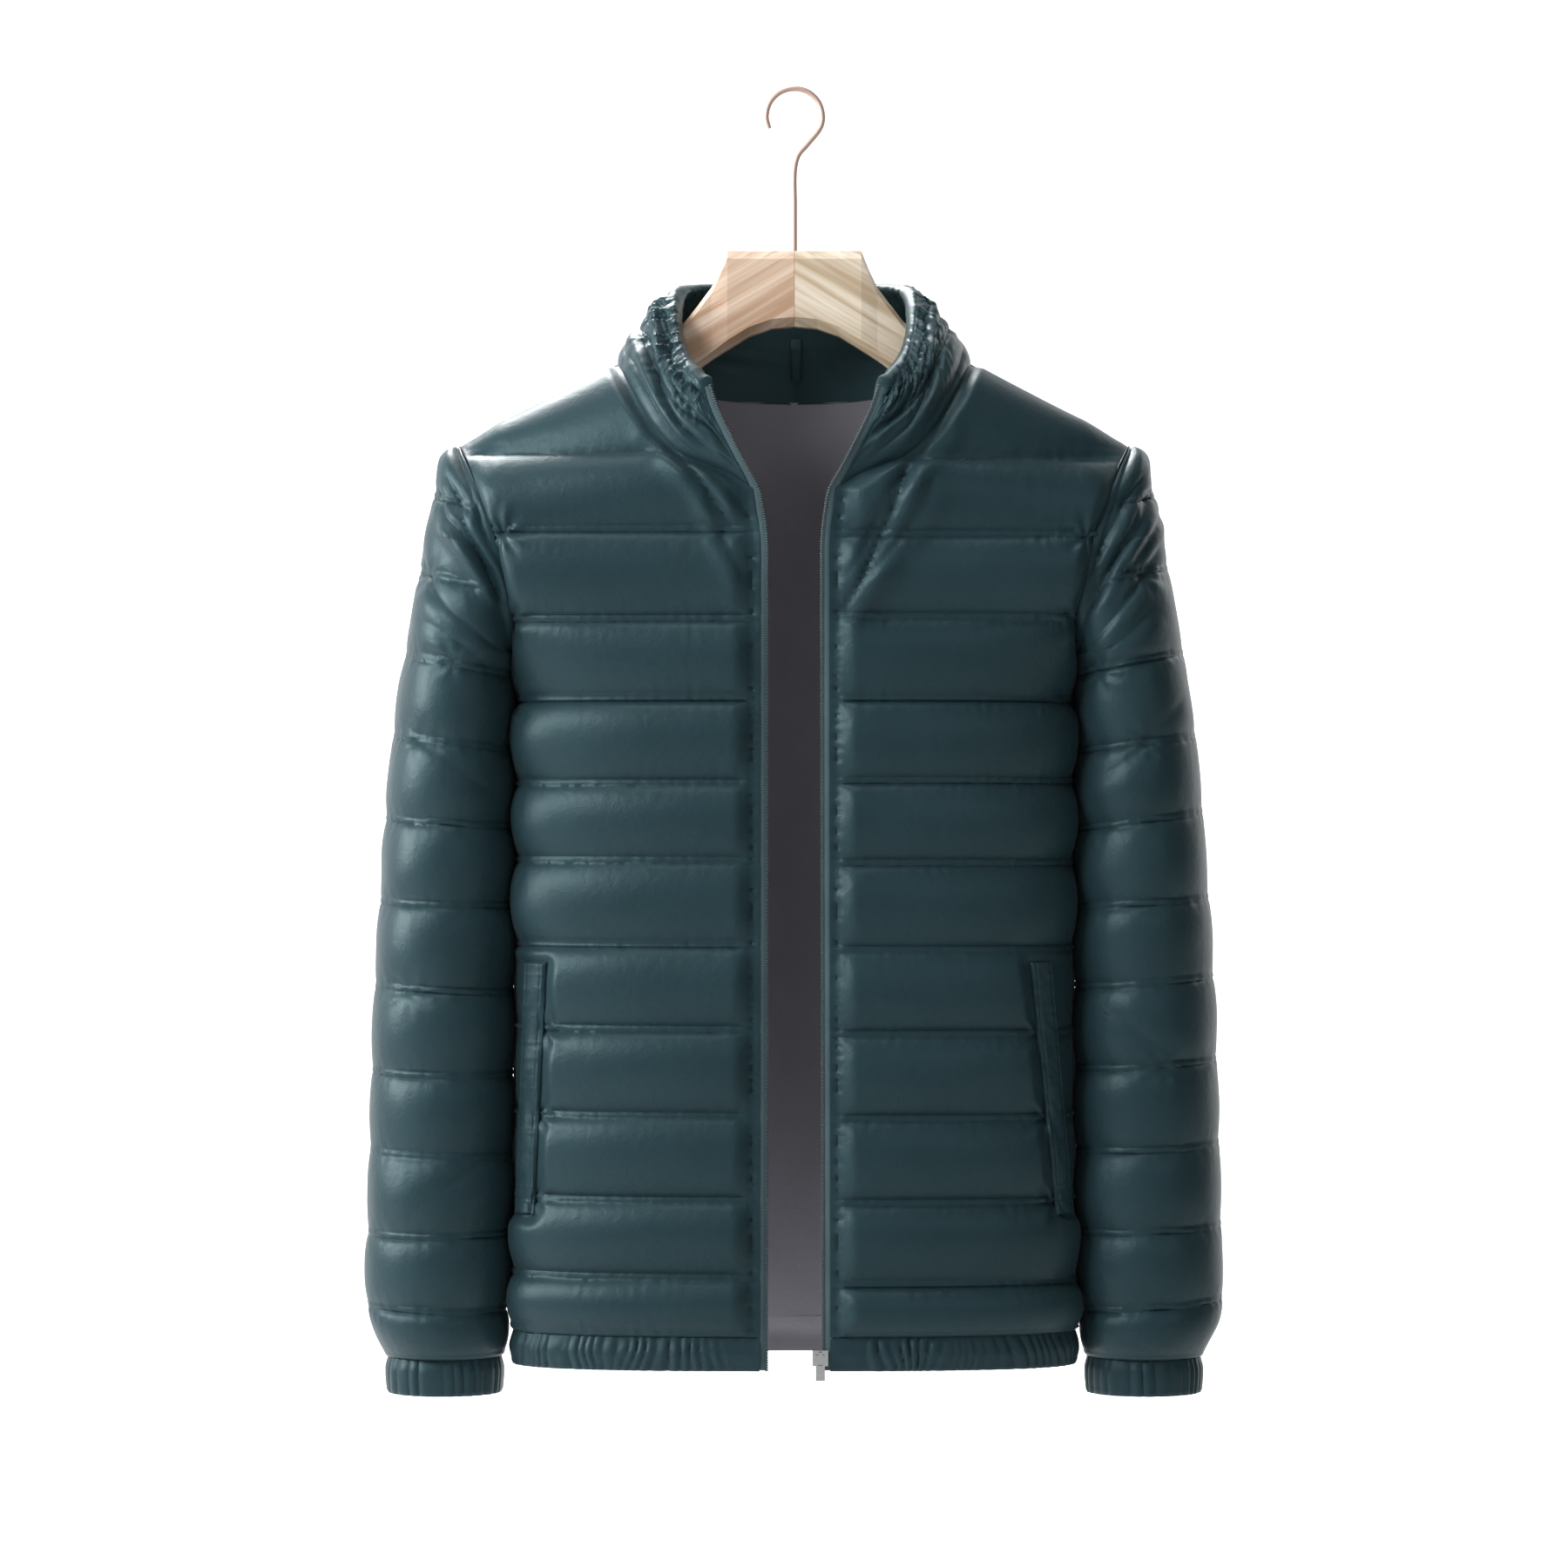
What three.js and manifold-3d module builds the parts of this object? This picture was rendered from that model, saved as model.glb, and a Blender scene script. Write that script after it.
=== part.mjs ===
// A hip-length quilted jacket with a stand collar, hung open on a wooden coat hanger.
// Millimetres, +Z up. The front faces -Y and -X is the left as seen from the front.
// The origin is the inner top of the hanger's hook, where the whole thing is held.
// Each cut piece of the garment is a closed wall of its own: a plain inner face, and an
// outer face that rises between the quilting seams.

import * as THREE from 'three';
import { mergeVertices } from 'three/addons/utils/BufferGeometryUtils.js';
import Module from 'manifold-3d';

const wasm = await Module();
wasm.setup();

// Driving sizes of the garment
const WALL = 3.2;
const SEAM_GAP = 0.3;
const SECTION_POWER = 2.8;
const SHOULDER_NECK = { x: 124, z: -195 };
const SHOULDER_TIP = { x: 227, z: -257 };
const SHOULDER_ROUND = 110;
const ARMHOLE = { x: 196, rise: 31, power: 2.2, bottom: -401, halfDepth: 62, halfHeight: 72 };
const HEM_Z = -878;
const HEM_BOTTOM = -902;
const ZIP_BOTTOM = -904;
const SLEEVE_END = -898;
const CUFF_BOTTOM = -924;
const TAPE_WIDTH = 6;

// Rise of the filling over the seam level
const PUFF = { front: 10, side: 3.5, edge: 2.5, sleeve: 8, sleeveOuter: 4, sleeveInner: 2.5 };
const PUFF_STEPS = [0, 0.2, 0.5, 0.8, 1];
const PUFF_POWER = 0.7;

// Half width and half depths of the body below the armhole, by height
const BODY_SIZE = [
  { z: -401, halfWidth: 196, front: 73, back: 70 },
  { z: -548, halfWidth: 195.5, front: 72, back: 69 },
  { z: -785, halfWidth: 197, front: 68, back: 66 },
  { z: -841, halfWidth: 198.5, front: 66, back: 65 },
  { z: -902, halfWidth: 201, front: 65, back: 64 },
];

// Heights of the body's quilting seams, from the one across the chest top to the hem
const BODY_SEAMS = [-264, -318.5, -378, -435, -492.5, -548, -608, -666.5, -726, -785, -841, HEM_Z];

// The neck seam from the zip to the shoulder, one row a point, seen from the front
const NECK_FRONT = [
  { x: 31, z: -285.5 },
  { x: 44, z: -277 },
  { x: 61, z: -269.5 },
  { x: 78.5, z: -261.5 },
  { x: 95, z: -245.5 },
  { x: 107, z: -228 },
  { x: 116.5, z: -210 },
  { x: 121.8, z: -199.5 },
  { x: 123.6, z: -196.2 },
  { x: SHOULDER_NECK.x, z: SHOULDER_NECK.z },
];

// The back neck seam from the shoulder to the centre
const NECK_BACK = [
  { x: 121, z: -195.6 },
  { x: 112, z: -198.5 },
  { x: 97, z: -204.5 },
  { x: 70, z: -211 },
  { x: 36, z: -215 },
  { x: 0, z: -216 },
];

// Rim of the collar from its front corner to the centre back, by share of the way round
const COLLAR_RIM = [
  { way: 0, x: 64, y: -80, z: -214 },
  { way: 0.1, x: 71, y: -72, z: -206 },
  { way: 0.22, x: 77, y: -58, z: -195 },
  { way: 0.36, x: 82, y: -36, z: -177 },
  { way: 0.5, x: 85, y: -10, z: -153 },
  { way: 0.6, x: 84, y: 10, z: -141 },
  { way: 0.7, x: 76, y: 29, z: -137 },
  { way: 0.82, x: 54, y: 46, z: -135 },
  { way: 0.92, x: 24, y: 53, z: -135 },
  { way: 1, x: 0, y: 54, z: -135 },
];
const COLLAR = { bow: 8, puff: 5, rimWall: 8, rows: 8 };

// Free edge of the zip on either side, from the collar's corner to the hem
const ZIP_EDGE = [
  { z: -214, left: 59, right: 57 },
  { z: -229, left: 52.5, right: 51 },
  { z: -255, left: 37, right: 36 },
  { z: -286, left: 25, right: 24 },
  { z: -318, left: 18.5, right: 18.5 },
  { z: -356, left: 18, right: 18 },
  { z: -904, left: 18.5, right: 19 },
];

// Points where the body meets the sleeve. Angles run from the shoulder down the armhole
const ARMHOLE_TOP_ANGLES = [0, 3, 6, 10, 14.5, 19];
const ARMHOLE_HEIGHTS = [-264, -271, -281, -292, -303, -318.5, -331, -345, -358, -378, -390, -401];

// Sleeve head: outer end of each row, and whether the row is a quilting seam
const SLEEVE_HEAD = [
  { outerZ: -257.4, outerX: 230, rise: 0 },
  { outerZ: -257.9, outerX: 233.5, rise: 0.1 },
  { outerZ: -258.9, outerX: 236.5, rise: 0.2 },
  { outerZ: -262, outerX: 239, rise: 0.4 },
  { outerZ: -268, outerX: 241, rise: 0.6 },
  { outerZ: -276.5, outerX: 243, rise: 0.7 },
  { outerZ: -284, outerX: 245, rise: 0.6 },
  { outerZ: -290, outerX: 246.5, rise: 0 },
  { outerZ: -304, outerX: 251, rise: 0.75 },
  { outerZ: -317, outerX: 255, rise: 1 },
  { outerZ: -330, outerX: 259, rise: 0.8 },
  { outerZ: -343, outerX: 262, rise: 0 },
  { outerZ: -361, outerX: 266, rise: 0.85 },
  { outerZ: -374, outerX: 268.5, rise: 1 },
  { outerZ: -387, outerX: 271, rise: 0.8 },
  { outerZ: -402, outerX: 273.5, rise: 0 },
];

// Sleeve seams below the head, outer and inner ends
const SLEEVE_SEAMS = [
  { outer: -402, inner: -416.5 },
  { outer: -459.5, inner: -470.5 },
  { outer: -515.5, inner: -525 },
  { outer: -575.5, inner: -580 },
  { outer: -633.5, inner: -639 },
  { outer: -693.5, inner: -698 },
  { outer: -751, inner: -755 },
  { outer: -809.5, inner: -811.5 },
  { outer: -861, inner: -866 },
  { outer: SLEEVE_END, inner: SLEEVE_END },
];

// Section of the sleeve, by height: outer and inner edges, half depth and centre
const SLEEVE_SIZE = [
  { z: -387, outer: 271, inner: 196.4, halfDepth: 62, centre: 0 },
  { z: -401, outer: 273.3, inner: 196.4, halfDepth: 62, centre: 0 },
  { z: -416.5, outer: 276, inner: 201, halfDepth: 62, centre: 3 },
  { z: -435, outer: 279, inner: 203.8, halfDepth: 61.5, centre: 6 },
  { z: -480, outer: 284.5, inner: 204, halfDepth: 61, centre: 8 },
  { z: -548, outer: 290, inner: 203.8, halfDepth: 59.5, centre: 8 },
  { z: -645, outer: 296, inner: 204.3, halfDepth: 56, centre: 8 },
  { z: -767, outer: 299.5, inner: 205.3, halfDepth: 51, centre: 7 },
  { z: -828, outer: 300.5, inner: 206.5, halfDepth: 48, centre: 6 },
  { z: -866, outer: 299.5, inner: 208.5, halfDepth: 44, centre: 5 },
  { z: -898, outer: 290, inner: 207.5, halfDepth: 36, centre: 4 },
];

// Gathered cuff, a ring with its folds evenly round it
const CUFF = { centreX: 248.5, centreY: 4, halfWidth: 41.5, halfDepth: 35, wall: 2.4, folds: 20, fold: 0.9 };

// Pocket welt on each front: its edges at the top and bottom, as shares of the body's half width
const WELT = {
  top: -617, bottom: -795, thick: 2.4, lift: 0.9, columns: 3,
  left: { topIn: 0.885, topOut: 0.965, bottomIn: 0.925, bottomOut: 0.992 },
  right: { topIn: 0.84, topOut: 0.92, bottomIn: 0.93, bottomOut: 0.992 },
};

// Loop to hang the jacket up by, inside the back of the collar
const LOOP = { left: -1.5, right: 4.5, top: -171, bottom: -201, thick: 1.6, bow: 3, clear: 0.5 };

// Hanger of flat wood: half sections from the middle out
const HANGER_SECTIONS = [
  { x: 0, top: -114, bottom: -167.4, half: 11 },
  { x: 16, top: -114, bottom: -169, half: 11 },
  { x: 32, top: -114, bottom: -174.5, half: 11 },
  { x: 47.5, top: -114, bottom: -184, half: 11 },
  { x: 53, top: -127, bottom: -187.5, half: 10.2 },
  { x: 59, top: -140, bottom: -191.5, half: 9.2 },
  { x: 68, top: -152, bottom: -198, half: 8.6 },
  { x: 77.5, top: -164, bottom: -204.5, half: 8.2 },
  { x: 100, top: -184.5, bottom: -218, half: 8.2 },
  { x: 124, top: -200.5, bottom: -232, half: 8.4 },
  { x: 165, top: -225.1, bottom: -254, half: 8.8 },
  { x: 200, top: -246.2, bottom: -270, half: 9 },
  { x: 208, top: -251.4, bottom: -270, half: 8.2 },
  { x: 212, top: -256.5, bottom: -266.5, half: 5.5 },
];
const HANGER_CHAMFER = 0.28;
const HOOK = { wire: 4, radius: 20, shankBottom: -126, hole: 2.4, holeDepth: 12.6 };

// Zip slider and its hanging pull, on the right-hand tape
const SLIDER = { x: 18, top: -887, height: 11, width: 11, plate: 1.7, clear: 0.4 };
const PULL = { width: 6.4, length: 18, thick: 1.5, windowWidth: 3.4, windowHeight: 5.8, pivotZ: -890.8 };
const BRIDGE = { width: 2, wall: 1.2, reach: 1.2, upper: 1.4, lower: 1.6 };

const point = (x, y, z) => new THREE.Vector3(x, y, z);
const mix = (a, b, share) => a + (b - a) * share;

// A smooth curve through one column of a table that is sorted by another column
function smooth(rows, key, column) {
  const at = rows.map((row) => row[key]);
  const value = rows.map((row) => row[column]);
  const direction = Math.sign(at[at.length - 1] - at[0]);
  const slope = (i) => {
    const low = Math.max(i - 1, 0);
    const high = Math.min(i + 1, rows.length - 1);
    return (value[high] - value[low]) / (at[high] - at[low]);
  };
  return (where) => {
    let i = 0;
    while (i < rows.length - 2 && (where - at[i + 1]) * direction > 0) {
      i += 1;
    }
    const span = at[i + 1] - at[i];
    const t = Math.min(Math.max((where - at[i]) / span, 0), 1);
    const t2 = t * t;
    const t3 = t2 * t;
    return (2 * t3 - 3 * t2 + 1) * value[i] + (t3 - 2 * t2 + t) * span * slope(i)
      + (3 * t2 - 2 * t3) * value[i + 1] + (t3 - t2) * span * slope(i + 1);
  };
}

// Eases from 0 to 1 between two values
function ease(from, to, value) {
  const t = Math.min(Math.max((value - from) / (to - from), 0), 1);
  return t * t * (3 - 2 * t);
}

// Signed volume of an indexed triangle list
function volume(positions, triangles) {
  let sum = 0;
  for (let i = 0; i < triangles.length; i += 3) {
    const [a, b, c] = [0, 1, 2].map((k) => positions[triangles[i + k]]);
    sum += a.dot(b.clone().cross(c));
  }
  return sum / 6;
}

// A geometry of the given points and triangles, turned so that its faces point out
function solid(positions, triangles) {
  const order = volume(positions, triangles) > 0 ? [0, 1, 2] : [0, 2, 1];
  const index = [];
  for (let i = 0; i < triangles.length; i += 3) {
    order.forEach((k) => index.push(triangles[i + k]));
  }
  const geometry = new THREE.BufferGeometry();
  geometry.setAttribute('position', new THREE.Float32BufferAttribute(positions.flatMap((p) => [p.x, p.y, p.z]), 3));
  geometry.setIndex(index);
  geometry.computeVertexNormals();
  return geometry;
}

// Outward normals of a grid of points, from the neighbours along its rows and columns
function gridNormals(grid, outward) {
  return grid.map((row, i) => row.map((p, j) => {
    const up = grid[Math.max(i - 1, 0)][j];
    const down = grid[Math.min(i + 1, grid.length - 1)][j];
    const before = row[Math.max(j - 1, 0)];
    const after = row[Math.min(j + 1, row.length - 1)];
    const normal = down.clone().sub(up).cross(after.clone().sub(before)).normalize();
    return normal.multiplyScalar(outward);
  }));
}

// One closed wall over a grid of seam-level points. The outer face is raised along the
// normals, and the inner face keeps only its plain rows. Both are joined round the edge.
function wall({ grid, outward, rise, depth, plain, edge }) {
  const smoothNormals = gridNormals(grid, outward);
  const normals = smoothNormals.map((row, i) => row.map((normal, j) => (edge ? edge(i, j, normal) : normal)));
  const outer = grid.map((row, i) => row.map((p, j) => p.clone().addScaledVector(normals[i][j], rise(i, j))));
  const innerRows = grid.map((row, i) => i).filter((i) => plain(i));
  const inner = innerRows.map((i) => grid[i].map((p, j) => p.clone().addScaledVector(normals[i][j], -depth(i, j))));
  const columns = grid[0].length;
  const positions = [...outer.flat(), ...inner.flat()];
  const outerAt = (i, j) => i * columns + j;
  const innerAt = (k, j) => outer.length * columns + k * columns + j;
  const triangles = [];
  const quad = (a, b, c, d) => triangles.push(a, b, c, a, c, d);
  for (let j = 0; j < columns - 1; j += 1) {
    for (let i = 0; i < outer.length - 1; i += 1) {
      quad(outerAt(i, j), outerAt(i + 1, j), outerAt(i + 1, j + 1), outerAt(i, j + 1));
    }
    for (let k = 0; k < inner.length - 1; k += 1) {
      quad(innerAt(k, j), innerAt(k, j + 1), innerAt(k + 1, j + 1), innerAt(k + 1, j));
    }
    const lastOuter = outer.length - 1;
    const lastInner = inner.length - 1;
    quad(outerAt(0, j), outerAt(0, j + 1), innerAt(0, j + 1), innerAt(0, j));
    quad(outerAt(lastOuter, j), innerAt(lastInner, j), innerAt(lastInner, j + 1), outerAt(lastOuter, j + 1));
  }
  [0, columns - 1].forEach((j) => {
    const turn = j === 0 ? (a, b, c) => triangles.push(a, b, c) : (a, b, c) => triangles.push(a, c, b);
    for (let k = 0; k < inner.length - 1; k += 1) {
      const first = innerRows[k];
      const last = innerRows[k + 1];
      const middle = Math.floor((first + last) / 2);
      for (let i = first; i < last; i += 1) {
        turn(outerAt(i, j), innerAt(i < middle ? k : k + 1, j), outerAt(i + 1, j));
      }
      turn(outerAt(middle, j), innerAt(k, j), innerAt(k + 1, j));
    }
  });
  return { geometry: solid(positions, triangles), outer, inner, normals };
}

// A closed solid through a list of rings with equal numbers of points, capped at both ends
function loft(rings) {
  const size = rings[0].length;
  const triangles = [];
  for (let i = 0; i < rings.length - 1; i += 1) {
    for (let j = 0; j < size; j += 1) {
      const next = (j + 1) % size;
      const [a, b] = [i * size + j, i * size + next];
      triangles.push(a, a + size, b + size, a, b + size, b);
    }
  }
  const last = (rings.length - 1) * size;
  for (let j = 1; j < size - 1; j += 1) {
    triangles.push(0, j, j + 1, last, last + j + 1, last + j);
  }
  return solid(rings.flat(), triangles);
}

// Joins and cuts, on closed meshes with their shared points merged
function toManifold(geometry) {
  const plainGeometry = geometry.clone();
  plainGeometry.deleteAttribute('normal');
  plainGeometry.deleteAttribute('uv');
  const merged = mergeVertices(plainGeometry, 1e-4);
  return new wasm.Manifold(new wasm.Mesh({
    numProp: 3,
    vertProperties: new Float32Array(merged.attributes.position.array),
    triVerts: new Uint32Array(merged.index.array),
  }));
}

function fromManifold(manifold) {
  const mesh = manifold.getMesh();
  const geometry = new THREE.BufferGeometry();
  geometry.setAttribute('position', new THREE.Float32BufferAttribute(mesh.vertProperties, mesh.numProp));
  geometry.setIndex(Array.from(mesh.triVerts));
  geometry.computeVertexNormals();
  return geometry;
}

// Body surface
const halfWidthBelow = smooth(BODY_SIZE, 'z', 'halfWidth');
const frontDepth = smooth(BODY_SIZE, 'z', 'front');
const backDepth = smooth(BODY_SIZE, 'z', 'back');
const RIDGE_SLOPE = (SHOULDER_TIP.z - SHOULDER_NECK.z) / (SHOULDER_TIP.x - SHOULDER_NECK.x);
const ridge = (x) => SHOULDER_NECK.z + (x - SHOULDER_NECK.x) * RIDGE_SLOPE;

// Outer edge of the body at a height: the armhole above the underarm, the side seam below
function bodyEdge(z) {
  if (z <= ARMHOLE.bottom) {
    return { x: halfWidthBelow(z), y: 0 };
  }
  const height = SHOULDER_TIP.z - ARMHOLE.bottom;
  const share = Math.min((z - ARMHOLE.bottom) / height, 1);
  const middle = SHOULDER_TIP.z - ARMHOLE.halfHeight;
  const rise = Math.min(Math.max((z - middle) / ARMHOLE.halfHeight, -1), 1);
  return {
    x: ARMHOLE.x + ARMHOLE.rise * share ** ARMHOLE.power,
    y: ARMHOLE.halfDepth * Math.sqrt(Math.max(1 - rise * rise, 0)),
  };
}

// Point of the body at a distance x from the middle and a height, on the front or the back
function bodyPoint(x, z, edge, facing) {
  const full = facing < 0 ? frontDepth(z) : backDepth(z);
  const drop = Math.min(Math.max(ridge(x) - z, 0) / SHOULDER_ROUND, 1);
  const depth = full * Math.sqrt(1 - (1 - drop) ** 2);
  const share = Math.min(x / edge.x, 1);
  const round = Math.max(1 - share ** SECTION_POWER, 0) ** (1 / SECTION_POWER);
  return point(x, facing * mix(edge.y, depth, round), z);
}

// The front edges stand forward of the chest beside the collar
function standForward(x, z, zip) {
  return 9 * ease(-430, -330, z) * Math.exp(-Math.max(x - zip, 0) / 26);
}

// Heights of the rows of a run of quilted channels, with each row's rise
function channelRows(seams) {
  return seams.slice(0, -1).flatMap((top, k) => PUFF_STEPS.slice(k ? 1 : 0).map((step) => ({
    z: mix(top, seams[k + 1], step),
    rise: step % 1 ? Math.sin(step * Math.PI) ** PUFF_POWER : 0,
  })));
}

// Armhole rows with their rises, shared by the body and the sleeve
const armholeTop = ARMHOLE_TOP_ANGLES.map((angle) => {
  const turn = THREE.MathUtils.degToRad(angle);
  return SHOULDER_TIP.z - ARMHOLE.halfHeight * (1 - Math.cos(turn));
});
const HEAD_ROWS = 6;
const HEAD_RISES = [0, 0.35, 0.6, 0.85, 1, 0.7, 0, 0.6, 0.95, 1, 0.75, 0, 0.75, 1, 0.75, 0, 0.75, 1, 0.75, 0];
const bodyRows = [
  ...armholeTop.map((z, i) => ({ z, rise: HEAD_RISES[i] })),
  ...[...ARMHOLE_HEIGHTS, -416.5, -435].map((z, i) => ({ z, rise: HEAD_RISES[HEAD_ROWS + i] })),
  ...channelRows(BODY_SEAMS.slice(3)).slice(1),
];

// Rows that end at the armhole, or just under it
const besideArmhole = (i) => bodyRows[i].z > -435;

// Rows that the plain inner face keeps: all beside the armhole, then only the seams
const keepsRow = (i) => besideArmhole(i) || bodyRows[i].rise === 0;

const FRONT_COLUMNS = [0, 0.03, 0.1, 0.2, 0.31, 0.42, 0.53, 0.63, 0.72, 0.8, 0.88, 0.945, 1];
const zipEdge = {
  '-1': smooth(ZIP_EDGE, 'z', 'left'),
  1: smooth(ZIP_EDGE, 'z', 'right'),
};

// Inner boundary of a front: up the zip tape, then round the neck seam to the shoulder
function frontInner(i, side) {
  const neckRow = NECK_FRONT.length - 1 - i;
  if (neckRow >= 0) {
    return NECK_FRONT[neckRow];
  }
  const { z } = bodyRows[i];
  return { x: zipEdge[side](z) + TAPE_WIDTH, z };
}

// Direction from a point of the armhole to the inside of the wall there
function armholeInward(p, away) {
  const middle = SHOULDER_TIP.z - ARMHOLE.halfHeight;
  const toMiddle = point(0, -p.y, middle - p.z).normalize();
  const turned = ease(-385, ARMHOLE.bottom, p.z);
  return toMiddle.multiplyScalar(1 - turned).add(point(away * turned, 0, 0)).normalize();
}

// Share of the full rise left beside a pocket welt
function weltFlat(side, share, z) {
  const welt = side < 0 ? WELT.left : WELT.right;
  const down = (z - WELT.top) / (WELT.bottom - WELT.top);
  const inside = ease(-0.06, 0.02, down) * (1 - ease(0.98, 1.06, down));
  const along = Math.min(Math.max(down, 0), 1);
  const nearIn = mix(welt.topIn, welt.bottomIn, along);
  return 1 - 0.65 * inside * ease(nearIn - 0.05, nearIn, share);
}

function makeFront(side) {
  const grid = bodyRows.map((row, i) => {
    const inner = frontInner(i, side);
    const edge = bodyEdge(row.z);
    const shareIn = (inner.x / edge.x) ** (SECTION_POWER / 2);
    const angleIn = Math.asin(shareIn);
    return FRONT_COLUMNS.map((column) => {
      const angle = mix(angleIn, Math.PI / 2, column);
      const x = column === 1 ? edge.x : edge.x * Math.sin(angle) ** (2 / SECTION_POWER);
      const across = (x - inner.x) / (edge.x - inner.x);
      const inTop = i < HEAD_ROWS;
      const z = inTop
        ? ridge(x) - mix(ridge(inner.x) - inner.z, ridge(edge.x) - row.z, across)
        : mix(inner.z, row.z, across);
      const p = bodyPoint(x, z, edge, -1);
      p.y -= standForward(x, z, zipEdge[side](Math.max(z, -330)));
      p.x = side * (p.x - (column === 1 && edge.y > 0 ? SEAM_GAP / 2 : 0));
      p.y = Math.min(p.y, -SEAM_GAP / 2);
      return p;
    });
  });
  const last = FRONT_COLUMNS.length - 1;
  return wall({
    grid,
    outward: side,
    rise: (i, j) => {
      const p = grid[i][j];
      const share = Math.abs(p.x) / bodyEdge(p.z).x;
      const column = FRONT_COLUMNS[j];
      const fromZip = mix(PUFF.edge, PUFF.front, ease(0, 0.12, column));
      const toSide = besideArmhole(i) ? mix(fromZip, 0, ease(0.7, 0.94, column)) : mix(fromZip, PUFF.side, ease(0.78, 1, column));
      return bodyRows[i].rise * toSide * weltFlat(side, share, p.z);
    },
    depth: () => WALL,
    plain: keepsRow,
    edge: (i, j, normal) => {
      const p = grid[i][j];
      if (j === last && bodyRows[i].z >= ARMHOLE.bottom) {
        return armholeInward(p, -side).negate();
      }
      if (i === bodyRows.length - 1) {
        return point(j === last ? side : normal.x, j === last ? 0 : normal.y, 0).normalize();
      }
      return j === last || i === 0 ? point(normal.x, 0, normal.z).normalize() : normal;
    },
  });
}

// The back is one piece from side to side, with the neck cut out of its top
const BACK_COLUMNS = [
  { share: 0, top: 0 },
  { share: 0.2, top: 36 },
  { share: 0.38, top: 70 },
  { share: 0.54, top: 97 },
  { share: 0.67, top: 112 },
  { share: 0.77, top: 121 },
  { share: 0.85, top: 124 },
  { share: 0.915, top: 150 },
  { share: 0.955, top: 178 },
  { share: 0.982, top: 203 },
  { share: 0.996, top: 218 },
  { share: 1, top: 227 },
];
const backNeck = smooth([{ x: 124, z: -195 }, ...NECK_BACK], 'x', 'z');

function makeBack() {
  const half = BACK_COLUMNS.length - 1;
  const columns = [...BACK_COLUMNS.map((c) => ({ ...c, side: -1 })).reverse(),
    ...BACK_COLUMNS.slice(1).map((c) => ({ ...c, side: 1 }))];
  const grid = bodyRows.map((row, i) => columns.map(({ share, top, side }) => {
    const edge = bodyEdge(row.z);
    const up = Math.max(1 - i / HEAD_ROWS, 0);
    const x = mix(share * edge.x, top * (edge.x / SHOULDER_TIP.x), up);
    const topDrop = x < SHOULDER_NECK.x ? ridge(x) - backNeck(x) : 0;
    const seamDrop = ridge(x) - ARMHOLE_HEIGHTS[0];
    const edgeDrop = (ridge(edge.x) - row.z) / (ridge(bodyEdge(ARMHOLE_HEIGHTS[0]).x) - ARMHOLE_HEIGHTS[0]);
    const z = i < HEAD_ROWS ? ridge(x) - mix(topDrop, seamDrop, edgeDrop) : row.z;
    const p = bodyPoint(x, z, edge, 1);
    p.x = side * (p.x - (share === 1 && edge.y > 0 ? SEAM_GAP / 2 : 0));
    p.y = Math.max(p.y, SEAM_GAP / 2);
    return p;
  }));
  return wall({
    grid,
    outward: -1,
    rise: (i, j) => {
      const share = Math.abs(j - half) / half;
      const toSide = besideArmhole(i) ? mix(PUFF.front, 0, ease(0.55, 0.88, share)) : mix(PUFF.front, PUFF.side, ease(0.6, 1, share));
      return bodyRows[i].rise * toSide;
    },
    depth: () => WALL,
    plain: keepsRow,
    edge: (i, j, normal) => {
      const side = Math.sign(j - half);
      const last = Math.abs(j - half) === half;
      if (last && bodyRows[i].z >= ARMHOLE.bottom) {
        return armholeInward(grid[i][j], -side).negate();
      }
      if (i === bodyRows.length - 1) {
        return point(last ? side : normal.x, last ? 0 : normal.y, 0).normalize();
      }
      const onSeam = last || (i === 0 && columns[j].top >= SHOULDER_NECK.x);
      return onSeam ? point(normal.x, 0, normal.z).normalize() : normal;
    },
  });
}

// Sleeve: each row runs from the front of the armhole, over the outside, to its back.
// Below the underarm the rows close up, leaving the sleeve's own seam on its inner side.
const SLEEVE_COLUMNS = 16;
const SLEEVE_FIRST = 3;
const sleeveSize = Object.fromEntries(['outer', 'inner', 'halfDepth', 'centre']
  .map((name) => [name, smooth(SLEEVE_SIZE, 'z', name)]));

function sleeveRows() {
  const innerHeights = [...armholeTop.slice(SLEEVE_FIRST), ...ARMHOLE_HEIGHTS, -416.5];
  const head = SLEEVE_HEAD.map((row, i) => {
    const z = innerHeights[i];
    const edge = bodyEdge(z);
    return { ...row, innerZ: z, innerX: edge.x + SEAM_GAP / 2, open: edge.y, halfDepth: z > -329 ? edge.y : 62, centre: 0 };
  });
  const closing = head[head.length - 1];
  Object.assign(closing, { innerX: sleeveSize.inner(-416.5), open: 0, centre: sleeveSize.centre(-416.5) });
  const arm = SLEEVE_SEAMS.slice(0, -1).flatMap((seam, k) => PUFF_STEPS.slice(1).map((step) => {
    const innerZ = mix(seam.inner, SLEEVE_SEAMS[k + 1].inner, step);
    const outerZ = mix(seam.outer, SLEEVE_SEAMS[k + 1].outer, step);
    return {
      innerZ, outerZ, outerX: sleeveSize.outer(outerZ), innerX: sleeveSize.inner(innerZ), open: 0,
      halfDepth: sleeveSize.halfDepth(innerZ), centre: sleeveSize.centre(innerZ),
      rise: step % 1 ? Math.sin(step * Math.PI) ** PUFF_POWER : 0,
    };
  }));
  return [...head, ...arm];
}

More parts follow.
